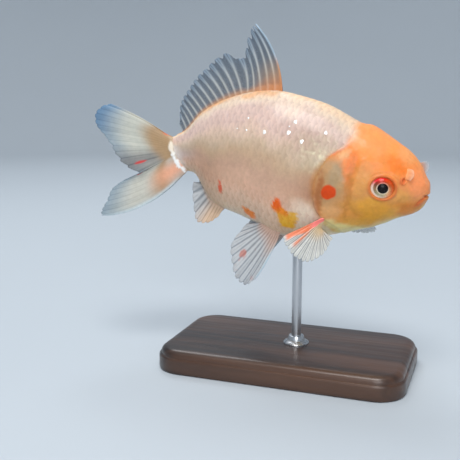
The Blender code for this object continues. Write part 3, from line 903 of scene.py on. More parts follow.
# %% [markdown]
# ## Living finishes
#
# Skin, scales, eyes and fins read their colours from the mesh, point by point. A painted picture
# could be wrapped round the fish instead, but colours at the points need no file and can't slip.
# Four helpers make the runs of nodes that come back in these finishes.

# %% More helpers for finishes


def ranged(nodes, links, value, low, high, at_low, at_high):
    """A value between low and high brought to another range."""
    node = nodes.new("ShaderNodeMapRange")
    for name, number in zip(("From Min", "From Max", "To Min", "To Max"), (low, high, at_low, at_high)):
        node.inputs[name].default_value = number
    links.new(value, node.inputs["Value"])
    return node.outputs["Result"]


def roughen(nodes, links, shader, height, strength, depth, before=None):
    """Adds a bump of that depth in metres from a height, after any bump before it."""
    bump = nodes.new("ShaderNodeBump")
    bump.inputs["Strength"].default_value = strength
    bump.inputs["Distance"].default_value = depth
    links.new(height, bump.inputs["Height"])
    if before:
        links.new(before.outputs["Normal"], bump.inputs["Normal"])
    links.new(bump.outputs["Normal"], shader.inputs["Normal"])
    return bump


def point_value(nodes, name):
    """Reads what the mesh keeps at each point under that name."""
    node = nodes.new("ShaderNodeAttribute")
    node.attribute_name = name
    return node.outputs


def mottled_tint(nodes, links, shader, noise, darkest, lightest):
    """The mesh's own colours, a little darker and lighter by a fine noise."""
    mixer = nodes.new("ShaderNodeMix")
    mixer.data_type = "RGBA"
    mixer.blend_type = "MULTIPLY"
    mixer.inputs["Factor"].default_value = 1.0
    links.new(point_value(nodes, "tint")["Color"], mixer.inputs["A"])
    links.new(ranged(nodes, links, noise, 0.3, 0.7, darkest, lightest), mixer.inputs["B"])
    links.new(mixer.outputs["Result"], shader.inputs["Base Color"])


print("helpers ready")

# %% [markdown]
# Wet skin has three depths. Light goes a millimetre or two into the flesh and comes out warmer,
# which is what subsurface scattering does. The skin's own surface is a little rough. Over it lies
# a film of slime and water, clear and glossy, which is the shader's coat.

# %% Skin finish


def fish_finish(name, rough_low, rough_high, bump_depth, scatter, coat):
    """Flesh under a wet film, coloured by the tint and mirror values kept at each point."""
    material, nodes, links, shader = new_material(name)
    fine = noise_node(nodes, links, 900.0, 4.0).outputs["Fac"]
    soft = noise_node(nodes, links, 260.0, 2.0).outputs["Fac"]
    coarse = noise_node(nodes, links, 420.0, 3.0).outputs["Fac"]
    mottled_tint(nodes, links, shader, fine, 0.95, 1.04)
    links.new(point_value(nodes, "mirror")["Fac"], shader.inputs["Metallic"])
    links.new(ranged(nodes, links, soft, 0.3, 0.7, rough_low, rough_high), shader.inputs["Roughness"])
    first = roughen(nodes, links, shader, coarse, 0.35, bump_depth)
    roughen(nodes, links, shader, fine, 0.25, bump_depth * 0.4, first)
    shader.inputs["Subsurface Weight"].default_value = scatter
    shader.inputs["Subsurface Radius"].default_value = (1.0, 0.45, 0.25)
    shader.inputs["Subsurface Scale"].default_value = 0.0014
    shader.inputs["IOR"].default_value = 1.40
    shader.inputs["Specular IOR Level"].default_value = 0.25
    shader.inputs["Coat Weight"].default_value = coat
    shader.inputs["Coat Roughness"].default_value = 0.16
    shader.inputs["Coat IOR"].default_value = 1.36
    return material


skin.data.materials.append(fish_finish("wet_skin", 0.34, 0.50, 0.00022, 0.25, 0.30))
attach(skin, "root")
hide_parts("head", "gill_cover_left", "gill_cover_right", "trunk", "tail_stock")
print("skin finished")

# %% [markdown]
# ## Scales
#
# A goldfish has about twenty-five scales along its side, each tucked under the one ahead, in rows
# that lie like bricks. On a body this deep they are taller than they are long. They could be
# only bump, but real overlap catches the light along each rear edge, so every scale is a thin
# closed plate of its own, bent to the body. Rows are counted up and down from the middle of the
# flank in millimetres of girth, which keeps the scales nearly one size while rows run out along
# the back and the belly.

# %% Finding a place by girth
GIRTH_LIMIT, GIRTH_STEP = 62.0, 0.5
girth_stations = np.linspace(0.0, 1.0, 321)
girth_angles = np.radians(np.arange(-120, 121, 1.5))
girth_marks = np.arange(-GIRTH_LIMIT, GIRTH_LIMIT + GIRTH_STEP, GIRTH_STEP)

ring_points = body(girth_stations[:, None], girth_angles)
ring_steps = np.linalg.norm(np.diff(ring_points, axis=1), axis=-1)
ring_girth = np.concatenate((np.zeros((len(girth_stations), 1)), ring_steps.cumsum(1)), 1)
ring_girth = ring_girth - ring_girth[:, len(girth_angles) // 2, None]
angle_by_girth = np.array([np.interp(girth_marks, row, girth_angles) for row in ring_girth])


def angle_at(station, girth):
    """The left flank's angle that many millimetres of girth above the middle of the flank."""
    row = np.clip(station, 0, 1) * (len(girth_stations) - 1)
    column = np.clip((girth + GIRTH_LIMIT) / GIRTH_STEP, 0, len(girth_marks) - 1.001)
    i, j = np.minimum(row.astype(int), len(girth_stations) - 2), column.astype(int)
    u, v = row - i, column - j
    low = angle_by_girth[i, j] * (1 - v) + angle_by_girth[i, j + 1] * v
    high = angle_by_girth[i + 1, j] * (1 - v) + angle_by_girth[i + 1, j + 1] * v
    return low * (1 - u) + high * u


belly, back = np.interp((-pi / 2, pi / 2), girth_angles, ring_girth[len(girth_stations) // 2])
print("from belly to back the flank measures", round(float(back - belly), 1), "mm")

# %% [markdown]
# The rows start at the tail and each other one is set back by half a step. Steps grow from the
# tail stock forward. A row ends where it meets the gill cover, or runs over the back or belly.

# %% Where the scales go
SCALE_STEP, SCALE_STEP_TAIL = 2.75, 2.05      # from one scale's rear edge to the next in its row
ROW_STEP, ROW_STEP_TAIL = 3.40, 2.35          # from row to row, round the body
REAR_X, TAIL_BLEND_X, FRONT_X = -45.6, -12.0, 26.0
ROWS = 10                                     # above and below the middle row
SIDE_LIMIT = radians(93)                      # a little past the ridge, so the two sides meet
THROAT_X = 16.5                               # the front of the scales under the throat


def grown(x, small, large):
    """Scales are small on the tail stock and full size from the vent forward."""
    return small + (large - small) * ramp(x, REAR_X, TAIL_BLEND_X)


def front_limit(angle):
    """Scales end at the gill cover, and behind the fin's root on the throat."""
    low = ramp(flank_angle(angle), radians(-44), radians(-60))
    edge = gill_edge(angle) - 0.5
    return edge + (np.minimum(edge, THROAT_X) - edge) * low


def scale_places(seed):
    """The rear tip of each scale: how far along, which girth, and two random numbers of its own."""
    draw = np.random.default_rng(seed)
    found = []
    for row in range(-ROWS, ROWS + 1):
        x = REAR_X + 0.5 * SCALE_STEP_TAIL * (row % 2)
        while x < FRONT_X:
            girth = row * grown(x, ROW_STEP_TAIL, ROW_STEP)
            angle = float(angle_at(station_at(x), np.array(girth)))
            if abs(angle) < SIDE_LIMIT and x < front_limit(angle) - 0.2:
                found.append((x, girth, draw.random(), draw.random()))
            x += float(grown(x, SCALE_STEP_TAIL, SCALE_STEP))
    return np.array(found)


print(len(scale_places(3)), "scales on a side")

# %% [markdown]
# One scale is a small grid. Along it, a runs from the root to the rear edge, and across it, b runs
# from the lower to the upper corner. The root is sunk under the skin and the rear edge stands
# highest. A second layer close under the first, joined round the edge, makes it a solid plate.

# %% The shape of one scale
ALONG, ACROSS = 7, 9
SCALE_LENGTH = 1.95                           # in steps, so nearly half of it is covered
SCALE_HEIGHT = 1.04                           # in rows, so neighbours just overlap
SMALLEST, SIZE_SPREAD = 0.97, 0.06            # sizes differ a little by chance
TIP_ROUND, CORNER_ROUND = 0.06, 0.42          # how far the rear edge draws forward, in steps
TIP_THICK, ROOT_THICK = 0.12, 0.25            # so a rear edge stands on the next scale
ROOT_DEPTH, FACE_DEPTH, TIP_DEPTH = 0.80, 0.10, 0.035
UNEVEN = 0.03                                 # how much higher one scale may stand than another


def slab_faces(rows, columns):
    """The faces of a solid sheet: a grid, a second one under it, and the wall round the two."""
    face = grid_faces(rows, columns)
    under = rows * columns
    rim = (
        list(range(columns))
        + [k * columns + columns - 1 for k in range(1, rows)]
        + [(rows - 1) * columns + k for k in reversed(range(columns - 1))]
        + [k * columns for k in reversed(range(1, rows - 1))]
    )
    wall = np.array([(p, q, q + under, p + under) for p, q in zip(rim, rim[1:] + rim[:1])])
    return np.concatenate((face, face[:, ::-1] + under, wall[:, ::-1]))


def scale_depth(shown, luck):
    """How deep a scale lies under the plain body."""
    depth = TIP_DEPTH + (FACE_DEPTH - TIP_DEPTH) * (1 - np.clip(shown, 0, 1)) ** 0.8
    depth = depth + (ROOT_DEPTH - FACE_DEPTH) * np.clip(-shown, 0, 1) + 0.03 * grid_b**2
    return depth + UNEVEN * (luck - 0.5)


a_line = 1 - (1 - np.linspace(0, 1, ALONG)) ** 1.25
b_line = np.linspace(-1, 1, ACROSS)
grid_a, grid_b = (g.ravel() for g in np.meshgrid(a_line, b_line, indexing="ij"))
plate_faces = slab_faces(ALONG, ACROSS)
print("a scale has", len(plate_faces), "faces")

# %% [markdown]
# Pigment lies thickest near the middle of a scale, and light catches the free edge. So each scale
# has a darker heart and a painted highlight along its rear, both stronger on the upper flank. Nodes
# could find the middle of each scale from its map, but the mesh knows it already.

# %% The paint and the map of the scales
PATCH = 0.003                                 # how much of the map is one scale's


def scale_paint(stations, angles, shown, tone):
    """The markings, with a darker heart and a painted highlight along the rear edge of each scale."""
    paint, mirror = markings(stations, angles)
    upper = ramp(np.sin(angles), 0.05, 0.6)
    lower = ramp(np.sin(angles), -0.10, -0.45)
    # painted highlight along each scale's rear edge
    edge_highlight = ramp(shown, 0.58, 0.90) * (0.10 + 0.65 * upper + 0.45 * lower)
    heart = hump(shown - 0.35, 0.30) * hump(grid_b, 0.75)
    paint = blend(paint, paint * np.array((0.93, 0.86, 0.90)), heart * (0.12 + 0.45 * upper))
    paint = blend(paint, paint * np.array((0.94, 0.80, 0.74)), 0.55 * heart * lower)
    paint = blend(paint, np.minimum(paint * 1.12 + 0.02, 1), edge_highlight)
    return paint * (0.985 + 0.03 * tone)[..., None], mirror


def scale_map(tips, faces):
    """The map places of the scales' corners: each scale has a small patch where it grows."""
    station = station_at(tips[:, 0] + SCALE_STEP)
    angle = flank_angle(angle_at(station, tips[:, 1]))
    home = np.stack((station, 0.5 + angle / pi * 0.98), -1)[:, None]
    local = np.stack((grid_a - 0.5, grid_b / 2), -1) * PATCH
    return np.stack((home + local, home + local), 1).reshape(-1, 2)[faces.ravel()]


print("a scale's map is", round(1 / PATCH), "times smaller than the whole")

# %% [markdown]
# Each side is made in one go, as one mesh of closed plates. An object for every scale would be
# easier to move about, but hundreds of them are slow to handle. Both sides share a finish, which
# is the skin's but glossier.

# %% Building the scales


def scales(side, seed):
    """All the scales of one side."""
    tips = scale_places(seed)
    x, girth, luck, tone = (tips[:, k, None] for k in range(4))
    step, row_step = grown(x, SCALE_STEP_TAIL, SCALE_STEP), grown(x, ROW_STEP_TAIL, ROW_STEP)
    size = SMALLEST + SIZE_SPREAD * luck
    drawn_in = TIP_ROUND * grid_b**2 + CORNER_ROUND * grid_b**6
    along = x + step * (SCALE_LENGTH * (1 - grid_a) + drawn_in) * size
    across = girth + row_step * SCALE_HEIGHT * grid_b * size * (0.90 + 0.10 * grid_a)
    stations = station_at(along)
    angles = angle_at(stations, across)
    if side == "right":
        angles = pi - angles
    shown = 1 - SCALE_LENGTH * (1 - grid_a)   # 0 where the next scale ahead ends
    depth = scale_depth(shown, luck)
    face = over_body(stations, angles, -depth)
    back = over_body(stations, angles, -depth - TIP_THICK - ROOT_THICK * (1 - grid_a))
    paint, mirror = scale_paint(stations, angles, shown, tone)
    # the underside of each plate is painted darker, as painted shade where its wall shows under the rear
    # edge
    points, colours = np.stack((face, back), 1), np.stack((paint, paint * 0.92), 1)
    offsets = np.arange(len(tips))[:, None, None] * 2 * ALONG * ACROSS
    faces = (plate_faces + offsets).reshape(-1, 4)
    return make_piece(
        "scales_" + side, pose(points), faces, np.clip(colours, 0, 1),
        {"mirror": np.stack((mirror, mirror), 1)}, scale_map(tips, faces), radians(50),
    )


scale_finish = fish_finish("pearl_scales", 0.28, 0.44, 0.00010, 0.20, 0.35)
for side, seed in (("left", 5), ("right", 6)):
    piece = scales(side, seed)
    piece.data.materials.append(scale_finish)
    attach(piece, "root")
    print(piece.name, triangles(piece), "triangles")

# %% [markdown]
# ## Mirror flecks with painted glints
#
# A few scales of a pearly goldfish keep their mirror pigment and flash like sequins. They could be
# painted on the scales, but what makes a fleck flash is that it bulges. So they are made as
# shallow domes of their own, set over the scales, glossy and painted near white: the white is a
# painted highlight that stands in for the flash.

# %% Flecks
RIGHT_FLECKS = (  # x, degrees above the middle of the flank, size
    (-8.8, 32, 1.05), (0.4, 38, 1.1), (6.0, 34, 1.05), (13.8, 47, 0.9), (1.9, 48, 0.95),
    (-16.2, 42, 0.5), (-19.9, 32, 0.35), (0.1, 43, 0.4), (-16.0, 31, 0.5),
)
LEFT_FLECKS = (
    (-3.0, 42, 1.0), (5.2, 30, 1.0), (9.6, 45, 0.9), (-18.0, 36, 0.9), (-26.0, 30, 0.6),
    (-11.0, 22, 0.6), (12.4, 28, 0.7),
)
FLECK_SIZE = (0.60, 0.58)                     # half length and half height
FLECK_RISE, FLECK_ROOT = 0.10, -0.4           # from the plain body
FLECK_RINGS, FLECK_SIDES = 5, 16


def fleck_points(side, x, degree, size):
    """A dome with a slightly uneven outline, and a flat back under the scales."""
    ring = np.linspace(0, 2 * pi, FLECK_SIDES, endpoint=False)
    spread = np.linspace(0.08, 1, FLECK_RINGS)[:, None]
    station = station_at(x)
    ridge, belly = body(station, pi / 2)[2], body(station, -pi / 2)[2]
    angle = radians(degree)
    half_height = (ridge - belly) / 2 * cos(angle)
    reach = size * spread * (1 + 0.14 * np.sin(3 * ring + 2 * x) + 0.10 * np.sin(2 * ring + x))
    stations = station_at(x + FLECK_SIZE[0] * reach * np.cos(ring))
    angles = angle + FLECK_SIZE[1] * reach * np.sin(ring) / half_height
    angles = angles if side == "left" else pi - angles
    rise = FLECK_RISE * (1 - spread**2) + 0 * ring
    back = over_body(stations[-1:], angles[-1:], np.full((1, FLECK_SIDES), FLECK_ROOT))
    return np.concatenate((over_body(stations, angles, rise), back))


fleck_faces, fleck_all = [], []
for side, flecks in (("right", RIGHT_FLECKS), ("left", LEFT_FLECKS)):
    for fleck in flecks:
        first = len(fleck_all) * (FLECK_RINGS + 1) * FLECK_SIDES
        fleck_faces += tube_faces(FLECK_RINGS + 1, FLECK_SIDES, first, side == "left")
        fleck_all.append(fleck_points(side, *fleck))
flecks = make_piece("mirror_glint_flecks", pose(np.array(fleck_all)), fleck_faces, sharp=radians(60))

glint_white, nodes, links, shader = new_material("mirror_glint_white")
grain = noise_node(nodes, links, 1500.0)
# near white: a painted highlight for the flash
two_tone(nodes, links, shader, grain.outputs["Fac"], linear(255, 253, 248), linear(250, 250, 250))
shader.inputs["Metallic"].default_value = 0.15
shader.inputs["Roughness"].default_value = 0.25
roughen(nodes, links, shader, grain.outputs["Fac"], 0.3, 0.0001)
flecks.data.materials.append(glint_white)
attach(flecks, "root")
print(len(fleck_all), "flecks")

# %% [markdown]
# ## Fins
#
# A fin is a fan: bony rays run from a root on the body to its edge, and a clear web fills the
# spaces. Each ray forks once or twice on the way, and the web draws back between the tips. The
# fins could be flat cards with a drawn pattern, but here each is a closed mesh whose thickness
# rises and falls with the rays, so that they catch light and cast shade as real ones do. The
# root starts under the scales, so no edge shows where a fin leaves the body.

# %% The lie of a fin
SIGN = {"left": 1, "right": -1}               # which way y runs
ROOT_SUNK = -0.5                              # a root's height over the plain body


def fan(root, tips, bow):
    """Where a fin's middle sheet lies: t runs over the rays, r along them."""

    def place(t, r):
        start, end = root(t), tips(t)
        middle = (start + end) / 2 + bow(t)
        r = r[..., None]
        return start * (1 - r) ** 2 + middle * 2 * r * (1 - r) + end * r * r

    return place


def on_body(side, x, angle, height):
    """A place over the body on the left or the right side."""
    angle = angle if side == "left" else pi - angle
    return over_body(station_at(x), angle, np.full(np.shape(x), height))


def along(rows, columns, t):
    """Reads columns of a table whose first column says how far over the fin each row lies."""
    return np.stack([through([(row[0], row[k]) for row in rows], t) for k in columns], -1)


def beside(rows, columns, y, t):
    """Reads x and z from two columns of a table, and puts them at that y."""
    x, z = np.moveaxis(along(rows, columns, t), -1, 0)
    return np.stack((x, np.full(x.shape, y), z), -1)


print("a fin's root lies", -ROOT_SUNK, "mm under the plain body")

# %% [markdown]
# The rays are drawn by how far a place is from the middle of its ray. Past each fork that
# distance is measured from two lines that part slowly. The numbers a fin doesn't give for itself
# are the usual ones.

# %% Rays
FIN_USUAL = {
    "fine": 10, "rows": 56,                   # columns to a ray, and rows from root to edge
    "sink": 0.05,                             # how much of a ray's length lies under the root
    "forks": (0.35, 0.7), "spread": 0.22,     # where a ray forks, and how far the branches part
    "stout": 0.18, "broad": 0.8,              # the width of a ray, and the flesh beside it
    "spine": 0.0, "spine_width": 0.5,         # how much thicker the leading ray is
    "notch": 0.05, "ragged": 0.0,             # how the edge draws back between rays, and tears
    "pleat": 0.16,                            # how deep the folds from ray to ray are
    "wave": 0.0, "waves": 1.5,                # how deep the whole fin waves, and how often
    "ray": 0.22, "flare": 0.5,                # half thickness of a ray, and of the fleshy root
}


def ray_pattern(t, r, count, shape):
    """1 on a ray and 0 between rays, and how far into the valley between rays a place is."""
    apart = np.abs(np.mod(t * count, 1.0) - 0.5)
    (near_fork, far_fork), spread = shape["forks"], shape["spread"]
    first_fork = spread * ramp(r, near_fork, near_fork + 0.45)
    second_fork = 0.46 * spread * ramp(r, far_fork, far_fork + 0.35)
    distance = np.abs(np.abs(apart - first_fork) - second_fork)
    bones = hump(distance, shape["stout"] - 0.36 * spread * ramp(r, near_fork, 1.0))
    band = 1 - ramp(apart, 0.22, 0.50)
    return bones + shape["broad"] * band * (1 - bones) * 0.75, ramp(apart, 0.20, 0.5)


def drawn_back(t, r, valley, count, shape):
    """How far along its ray each place lies, once the edge draws back between the tips."""
    torn = 0.5 + 0.5 * mottle(np.stack((t * count, 0 * t, 0 * t + 7), -1), 1.0)
    notch = shape["notch"] * valley + shape["ragged"] * torn
    return np.where(r > 0, r * (1 - notch * ramp(r, 0.3, 1.0)), r)


print("a usual fin has", FIN_USUAL["fine"], "columns to a ray")

# %% [markdown]
# A fin's middle sheet is pleated a little from ray to ray and waves as a whole. Two sheets, one on
# each side of it, are as far apart as the fin is thick there, and a wall round the edge joins them.

# %% Sheets
WEB_HALF = 0.085                              # half thickness of the bare web


def middle_sheet(place, t, r, reach, count, shape):
    """The pleated middle sheet, and which way it faces. Under its root it runs straight on."""
    inner = np.clip(reach, 0, None)
    first = place(t, np.full_like(r, 0.01)) - place(t, np.zeros_like(r))
    middle = place(t, inner) + first * (np.clip(reach, None, 0) / 0.01)[..., None]
    facing = unit(np.cross(np.gradient(middle, axis=0), np.gradient(middle, axis=1)))
    pleat = np.cos(t * count * pi) * shape["pleat"] * ramp(r, 0.05, 0.9)
    wave = shape["wave"] * np.sin(2 * pi * (t * shape["waves"] + 0.15)) * inner**2
    return middle + facing * (pleat + wave)[..., None], facing


def half_thickness(t, r, inner, rays, spine, shape):
    """Half the fin's thickness: most on the rays and at the root, least round the edge."""
    rows, columns = t.shape
    thin = WEB_HALF + shape["ray"] * (1 - 0.55 * inner) * rays + 0.10 * spine * (1 - 0.6 * inner)
    flare = shape["flare"] * hump(np.clip(r, -0.02, None), 0.075)
    side_edge = np.sqrt(np.clip(np.minimum(t, 1 - t) * columns / 2.5, 0.06, 1))
    tip_edge = np.sqrt(np.clip((1 - r) * rows / 2.5, 0.12, 1))
    return (thin + flare) * side_edge * tip_edge


print("the bare web is", 2 * WEB_HALF, "mm thick")

# %% [markdown]
# The maker of fins puts these together. What tells one fin from another comes in as functions and
# numbers: where its middle sheet lies, how many rays it has, its shape, and its paint.

# %% The maker of fins


def make_fin(name, place, count, shape, paint, nodes_replaced):
    """A closed fin. shape is a dict of its numbers, and paint gives its colours and clearness."""
    shape = {**FIN_USUAL, **shape}
    columns, rows, sink = count * shape["fine"] + 1, shape["rows"], shape["sink"]
    t = np.linspace(0, 1, columns)[None, :] * np.ones((rows, 1))
    r = np.linspace(-sink, 1, rows)[:, None] * np.ones((1, columns))
    rays, valley = ray_pattern(t, r, count, shape)
    spine = hump(t * count, shape["spine_width"]) * shape["spine"]
    rays = np.clip(rays + spine, 0, 1)
    reach = drawn_back(t, r, valley, count, shape)
    inner = np.clip(reach, 0, None)
    middle, facing = middle_sheet(place, t, r, reach, count, shape)
    rise = facing * half_thickness(t, r, inner, rays, spine, shape)[..., None]

    colours, clear = paint(t, inner, rays, middle)
    clear = np.clip(clear + 0.9 * ramp(r, 0.12, 0.02) + 0.5 * spine, 0, 1)
    faces = slab_faces(rows, columns)
    grid = np.stack((t * 0.48, (r + sink) / (1 + sink)), -1).reshape(-1, 2)
    flat_map = np.concatenate((grid, grid + (0.51, 0)))
    piece = make_piece(
        name, pose(np.stack((middle + rise, middle - rise))), faces, np.stack((colours, colours)),
        {"clear": np.stack((clear, clear))}, flat_map[faces.ravel()],
    )
    piece.data.materials.append(fin_finish)
    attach(piece, "root")
    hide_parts(*nodes_replaced)
    print(name, triangles(piece), "triangles")


# %% [markdown]
# The finish reads its colour and clearness from the mesh. Fin rays are jointed like bamboo, which
# shows as fine cross lines, so a fine noise roughens them. Glass-like transmission would bend the
# light, but a web is far too thin for that, so it is plain clearness instead.

# %% Fin finish
fin_finish, nodes, links, shader = new_material("fin_web")
links.new(point_value(nodes, "tint")["Color"], shader.inputs["Base Color"])
speck = noise_node(nodes, links, 700.0).outputs["Fac"]
clear_sum = nodes.new("ShaderNodeMath")
clear_sum.operation = "ADD"
clear_sum.use_clamp = True
links.new(point_value(nodes, "clear")["Fac"], clear_sum.inputs[0])
links.new(ranged(nodes, links, speck, 0.3, 0.7, -0.05, 0.05), clear_sum.inputs[1])
links.new(clear_sum.outputs[0], shader.inputs["Alpha"])
links.new(ranged(nodes, links, speck, 0.3, 0.7, 0.34, 0.50), shader.inputs["Roughness"])
roughen(nodes, links, shader, speck, 0.3, 0.00012)
shader.inputs["IOR"].default_value = 1.38
shader.inputs["Coat Weight"].default_value = 0.2
shader.inputs["Coat Roughness"].default_value = 0.18
print("fin finish ready")

# %% [markdown]
# ### The back fin
#
# The back fin has a spine in front and eighteen rays behind it. The rays lean back more and more
# towards the tail, and all bow forward a little. Behind the first six the edge is torn down in a
# deep dip, as it often is on a fish that has been netted. Not every ray is listed: a smooth curve
# runs through the ones that are.

# %% Rays of the back fin
DORSAL_COUNT = 19
DORSAL_RAYS = (  # ray, x of its root, x and z of its tip, how far its middle bows forward and up
    (0, -7.6, -21.4, 51.4, 4.8, 2.6),
    (1, -10.6, -22.0, 50.2, 4.2, 2.1),
    (2, -13.2, -22.7, 49.0, 3.4, 1.6),
    (3, -15.8, -23.7, 45.6, 2.7, 1.2),
    (4, -18.1, -23.8, 41.4, 2.2, 1.1),
    (5, -20.3, -25.2, 38.0, 1.9, 1.1),
    (6, -22.4, -31.6, 39.3, 1.7, 1.2),
    (7, -24.5, -35.0, 36.8, 1.5, 1.3),
    (8, -26.6, -37.4, 34.2, 1.2, 1.3),
    (10, -30.5, -41.2, 29.7, 0.7, 0.8),
    (12, -34.3, -43.8, 25.5, 0.3, 0.4),
    (14, -37.5, -46.1, 21.2, 0.3, 0.4),
    (16, -40.0, -47.3, 17.0, 0.3, 0.5),
    (18, -42.8, -46.9, 10.6, 0.2, 0.4),
)


def dorsal_root(t):
    x = along(DORSAL_RAYS, (1,), t * DORSAL_COUNT - 0.5)[..., 0]
    return on_body("left", x, np.full(t.shape, pi / 2), ROOT_SUNK)


def dorsal_tips(t):
    return beside(DORSAL_RAYS, (2, 3), 0.0, t * DORSAL_COUNT - 0.5)


def dorsal_bow(t):
    return beside(DORSAL_RAYS, (4, 5), 0.0, t * DORSAL_COUNT - 0.5)


print("the back fin's tallest tip is", max(row[3] for row in DORSAL_RAYS), "mm above the middle")

# %% [markdown]
# Its web is smoke grey and its rays are milky, turning pale blue at the tips. The front of the fin
# is tanned near the body, and its spine goes from tan to a bright blue white. A fin's paint is a
# function of t over the rays, r along them, how much of a place is ray, and the places themselves.

# %% Back fin
MILKY, SMOKE, PALE_BLUE, SLATE = (
    linear(190, 192, 188), linear(104, 110, 118), linear(140, 157, 173), linear(84, 96, 110)
)
DORSAL_SHAPE = {
    "notch": 0.085, "ragged": 0.02, "spine": 0.9, "spine_width": 0.32, "pleat": 0.12, "wave": 0.5,
    "forks": (0.5, 0.85), "spread": 0.13, "broad": 0.1, "stout": 0.14, "rows": 64,
}


def dorsal_paint(t, r, rays, places):
    web, bone = blend(SMOKE, SLATE, r), blend(MILKY, PALE_BLUE, ramp(r, 0.4, 1))
    colours = blend(web, bone, 0.85 * rays)
    fore = ramp(t, 0.30, 0.05)
    colours = blend(colours, linear(184, 146, 108), 0.6 * fore * ramp(r, 0.55, 0.20))
    lead = ramp(t, 0.050, 0.022)
    spine = blend(linear(206, 142, 96), linear(190, 212, 230), ramp(r, 0.30, 0.55))
    colours = blend(colours, spine, 0.95 * lead)
    root = blend(linear(188, 138, 98), linear(198, 126, 74), fore)
    colours = blend(colours, root, 0.80 * ramp(r, 0.20 + 0.12 * fore, 0.02))
    return colours, 0.62 + 0.34 * rays + 0.12 * fore + 0.3 * lead


dorsal = fan(dorsal_root, dorsal_tips, dorsal_bow)
make_fin("back_fin", dorsal, DORSAL_COUNT, DORSAL_SHAPE, dorsal_paint, ("dorsal_fin",))

# %% [markdown]
# ### The tails
#
# A twin-tailed goldfish has two tails side by side, joined along the top, each forked into an
# upper and a lower lobe. Each lobe could be a fan of its own, but one fan makes a whole tail,
# because the web runs on across the fork. The rays' tips are listed from the top of the upper
# lobe, through the fork, to the foot of the lower one.

# %% Rays of the tails
TAIL_COUNT = 23
TAIL_RAYS = (  # ray, x and z of its tip
    (0.0, -77.4, 14.2), (1.2, -79.6, 12.2), (2.5, -81.0, 9.2), (3.8, -80.8, 6.2), (5.0, -79.0, 3.9),
    (6.3, -76.7, 1.9), (7.3, -74.9, -0.2), (7.8, -73.0, -1.3), (8.6, -72.4, -3.0), (9.3, -71.4, -4.6),
    (9.8, -69.2, -5.9), (10.5, -68.4, -7.4), (10.9, -65.8, -8.6), (11.4, -64.9, -9.5),
    (12.1, -60.6, -10.8), (12.8, -61.2, -11.4), (13.8, -64.4, -13.4),
    (15.0, -67.6, -15.6), (16.4, -71.0, -18.4), (18.0, -72.9, -22.2), (20.0, -74.2, -26.6),
    (22.2, -75.4, -30.4), (23.0, -73.6, -30.7),
)
TAIL_BOWS = (  # how far over the fin, how far the middle bows forward and up
    (0.0, 0.0, 2.4), (0.3, 0.0, 0.6), (0.55, 0.0, 0.0), (0.8, 1.6, -3.6), (1.0, 3.1, -8.0),
)
TAIL_ROOT_X = ((0.0, -46.9), (0.5, -47.7), (1.0, -44.2))
TAIL_ROOT_SPAN = 0.975                        # of the height of the tail stock's end
TAIL_SPLAY = 3.2                              # how far aside the tips lie
TAIL_SUNK = -0.75


def tail_root(side):
    def root(t):
        angle = np.arcsin(TAIL_ROOT_SPAN * (1 - 2 * t))
        return on_body(side, through(TAIL_ROOT_X, t), angle, TAIL_SUNK)

    return root


def tail_tips(side):
    def tips(t):
        return beside(TAIL_RAYS, (1, 2), SIGN[side] * TAIL_SPLAY, t * TAIL_COUNT)

    return tips


def tail_bow(t):
    return beside(TAIL_BOWS, (1, 2), 0.0, t)


print("a tail has", TAIL_COUNT, "rays")

# %% [markdown]
# A tail is tan and fleshy at the root, cream in the middle and blue white at the tips. The rays
# near the fork are grey, the lower lobe is paler, with a peach wash and a glassy foot, and two
# short red streaks mark the fork. The bright crescent of the tail's root is laid on last.

# %% Paint of the tails
TAIL_STREAKS = (  # the middle as t and r, half width and half length
    ((0.482, 0.71), (0.011, 0.13)),
    ((0.612, 0.76), (0.014, 0.05)),
)


def tail_ground(t, r, rays):
    """Tan, cream and blue from the root to the tips, for the web and the rays."""
    blue, cream_from = ramp(t, 0.32, 0.12), ramp(r, 0.24, 0.50)
    cream = blend(linear(186, 180, 166), linear(178, 180, 168), ramp(t, 0.54, 0.44))
    web_tip = blend(linear(116, 134, 148), linear(72, 106, 140), blue)
    web = blend(linear(166, 134, 98), cream, cream_from)
    web = blend(web, web_tip, ramp(r, 0.62 - 0.08 * blue, 0.98))
    bone_tip = blend(linear(156, 170, 178), linear(114, 148, 178), blue)
    bone = blend(linear(172, 142, 106), linear(204, 202, 190), cream_from)
    bone = blend(bone, bone_tip, ramp(r, 0.6 - 0.08 * blue, 1.0))
    return blend(web, bone, 0.45 + 0.40 * rays * ramp(r, 0.3, 0.8))


def tail_marks(colours, t, r, rays):
    """The fork, the lower lobe, the peach wash, the foot, the top edge and the streaks."""
    fork = hump(t - 0.475, 0.09) * ramp(r, 0.15, 0.45)
    colours = blend(colours, blend(linear(84, 84, 86), linear(124, 122, 120), rays), 0.85 * fork)
    low = ramp(t, 0.52, 0.60) * ramp(r, 0.30, 0.12)
    colours = blend(colours, linear(196, 186, 174), 0.8 * low)
    peach = hump(t - 0.83 + 0.10 * r, 0.13) * ramp(r, 0.55, 0.15)
    colours = blend(colours, linear(242, 170, 134), 0.85 * peach)
    foot = hump(t - 1.0, 0.035) * ramp(r, 0.05, 0.2)
    colours = blend(colours, linear(212, 226, 230), 0.9 * foot)
    top = hump(t, 0.03)
    pale_top = top * ramp(r, 0.2, 0.4) * ramp(r, 0.85, 0.55)
    colours = blend(colours, linear(206, 204, 190), 0.6 * pale_top)
    colours = blend(colours, linear(216, 96, 58), 0.8 * top * hump(r - 0.10, 0.04))
    for centre, size in TAIL_STREAKS:
        streak = ramp(oval(t, r, centre, size), 0.15, 0.6)
        colours = blend(colours, linear(208, 66, 64), 0.95 * streak)
    return colours


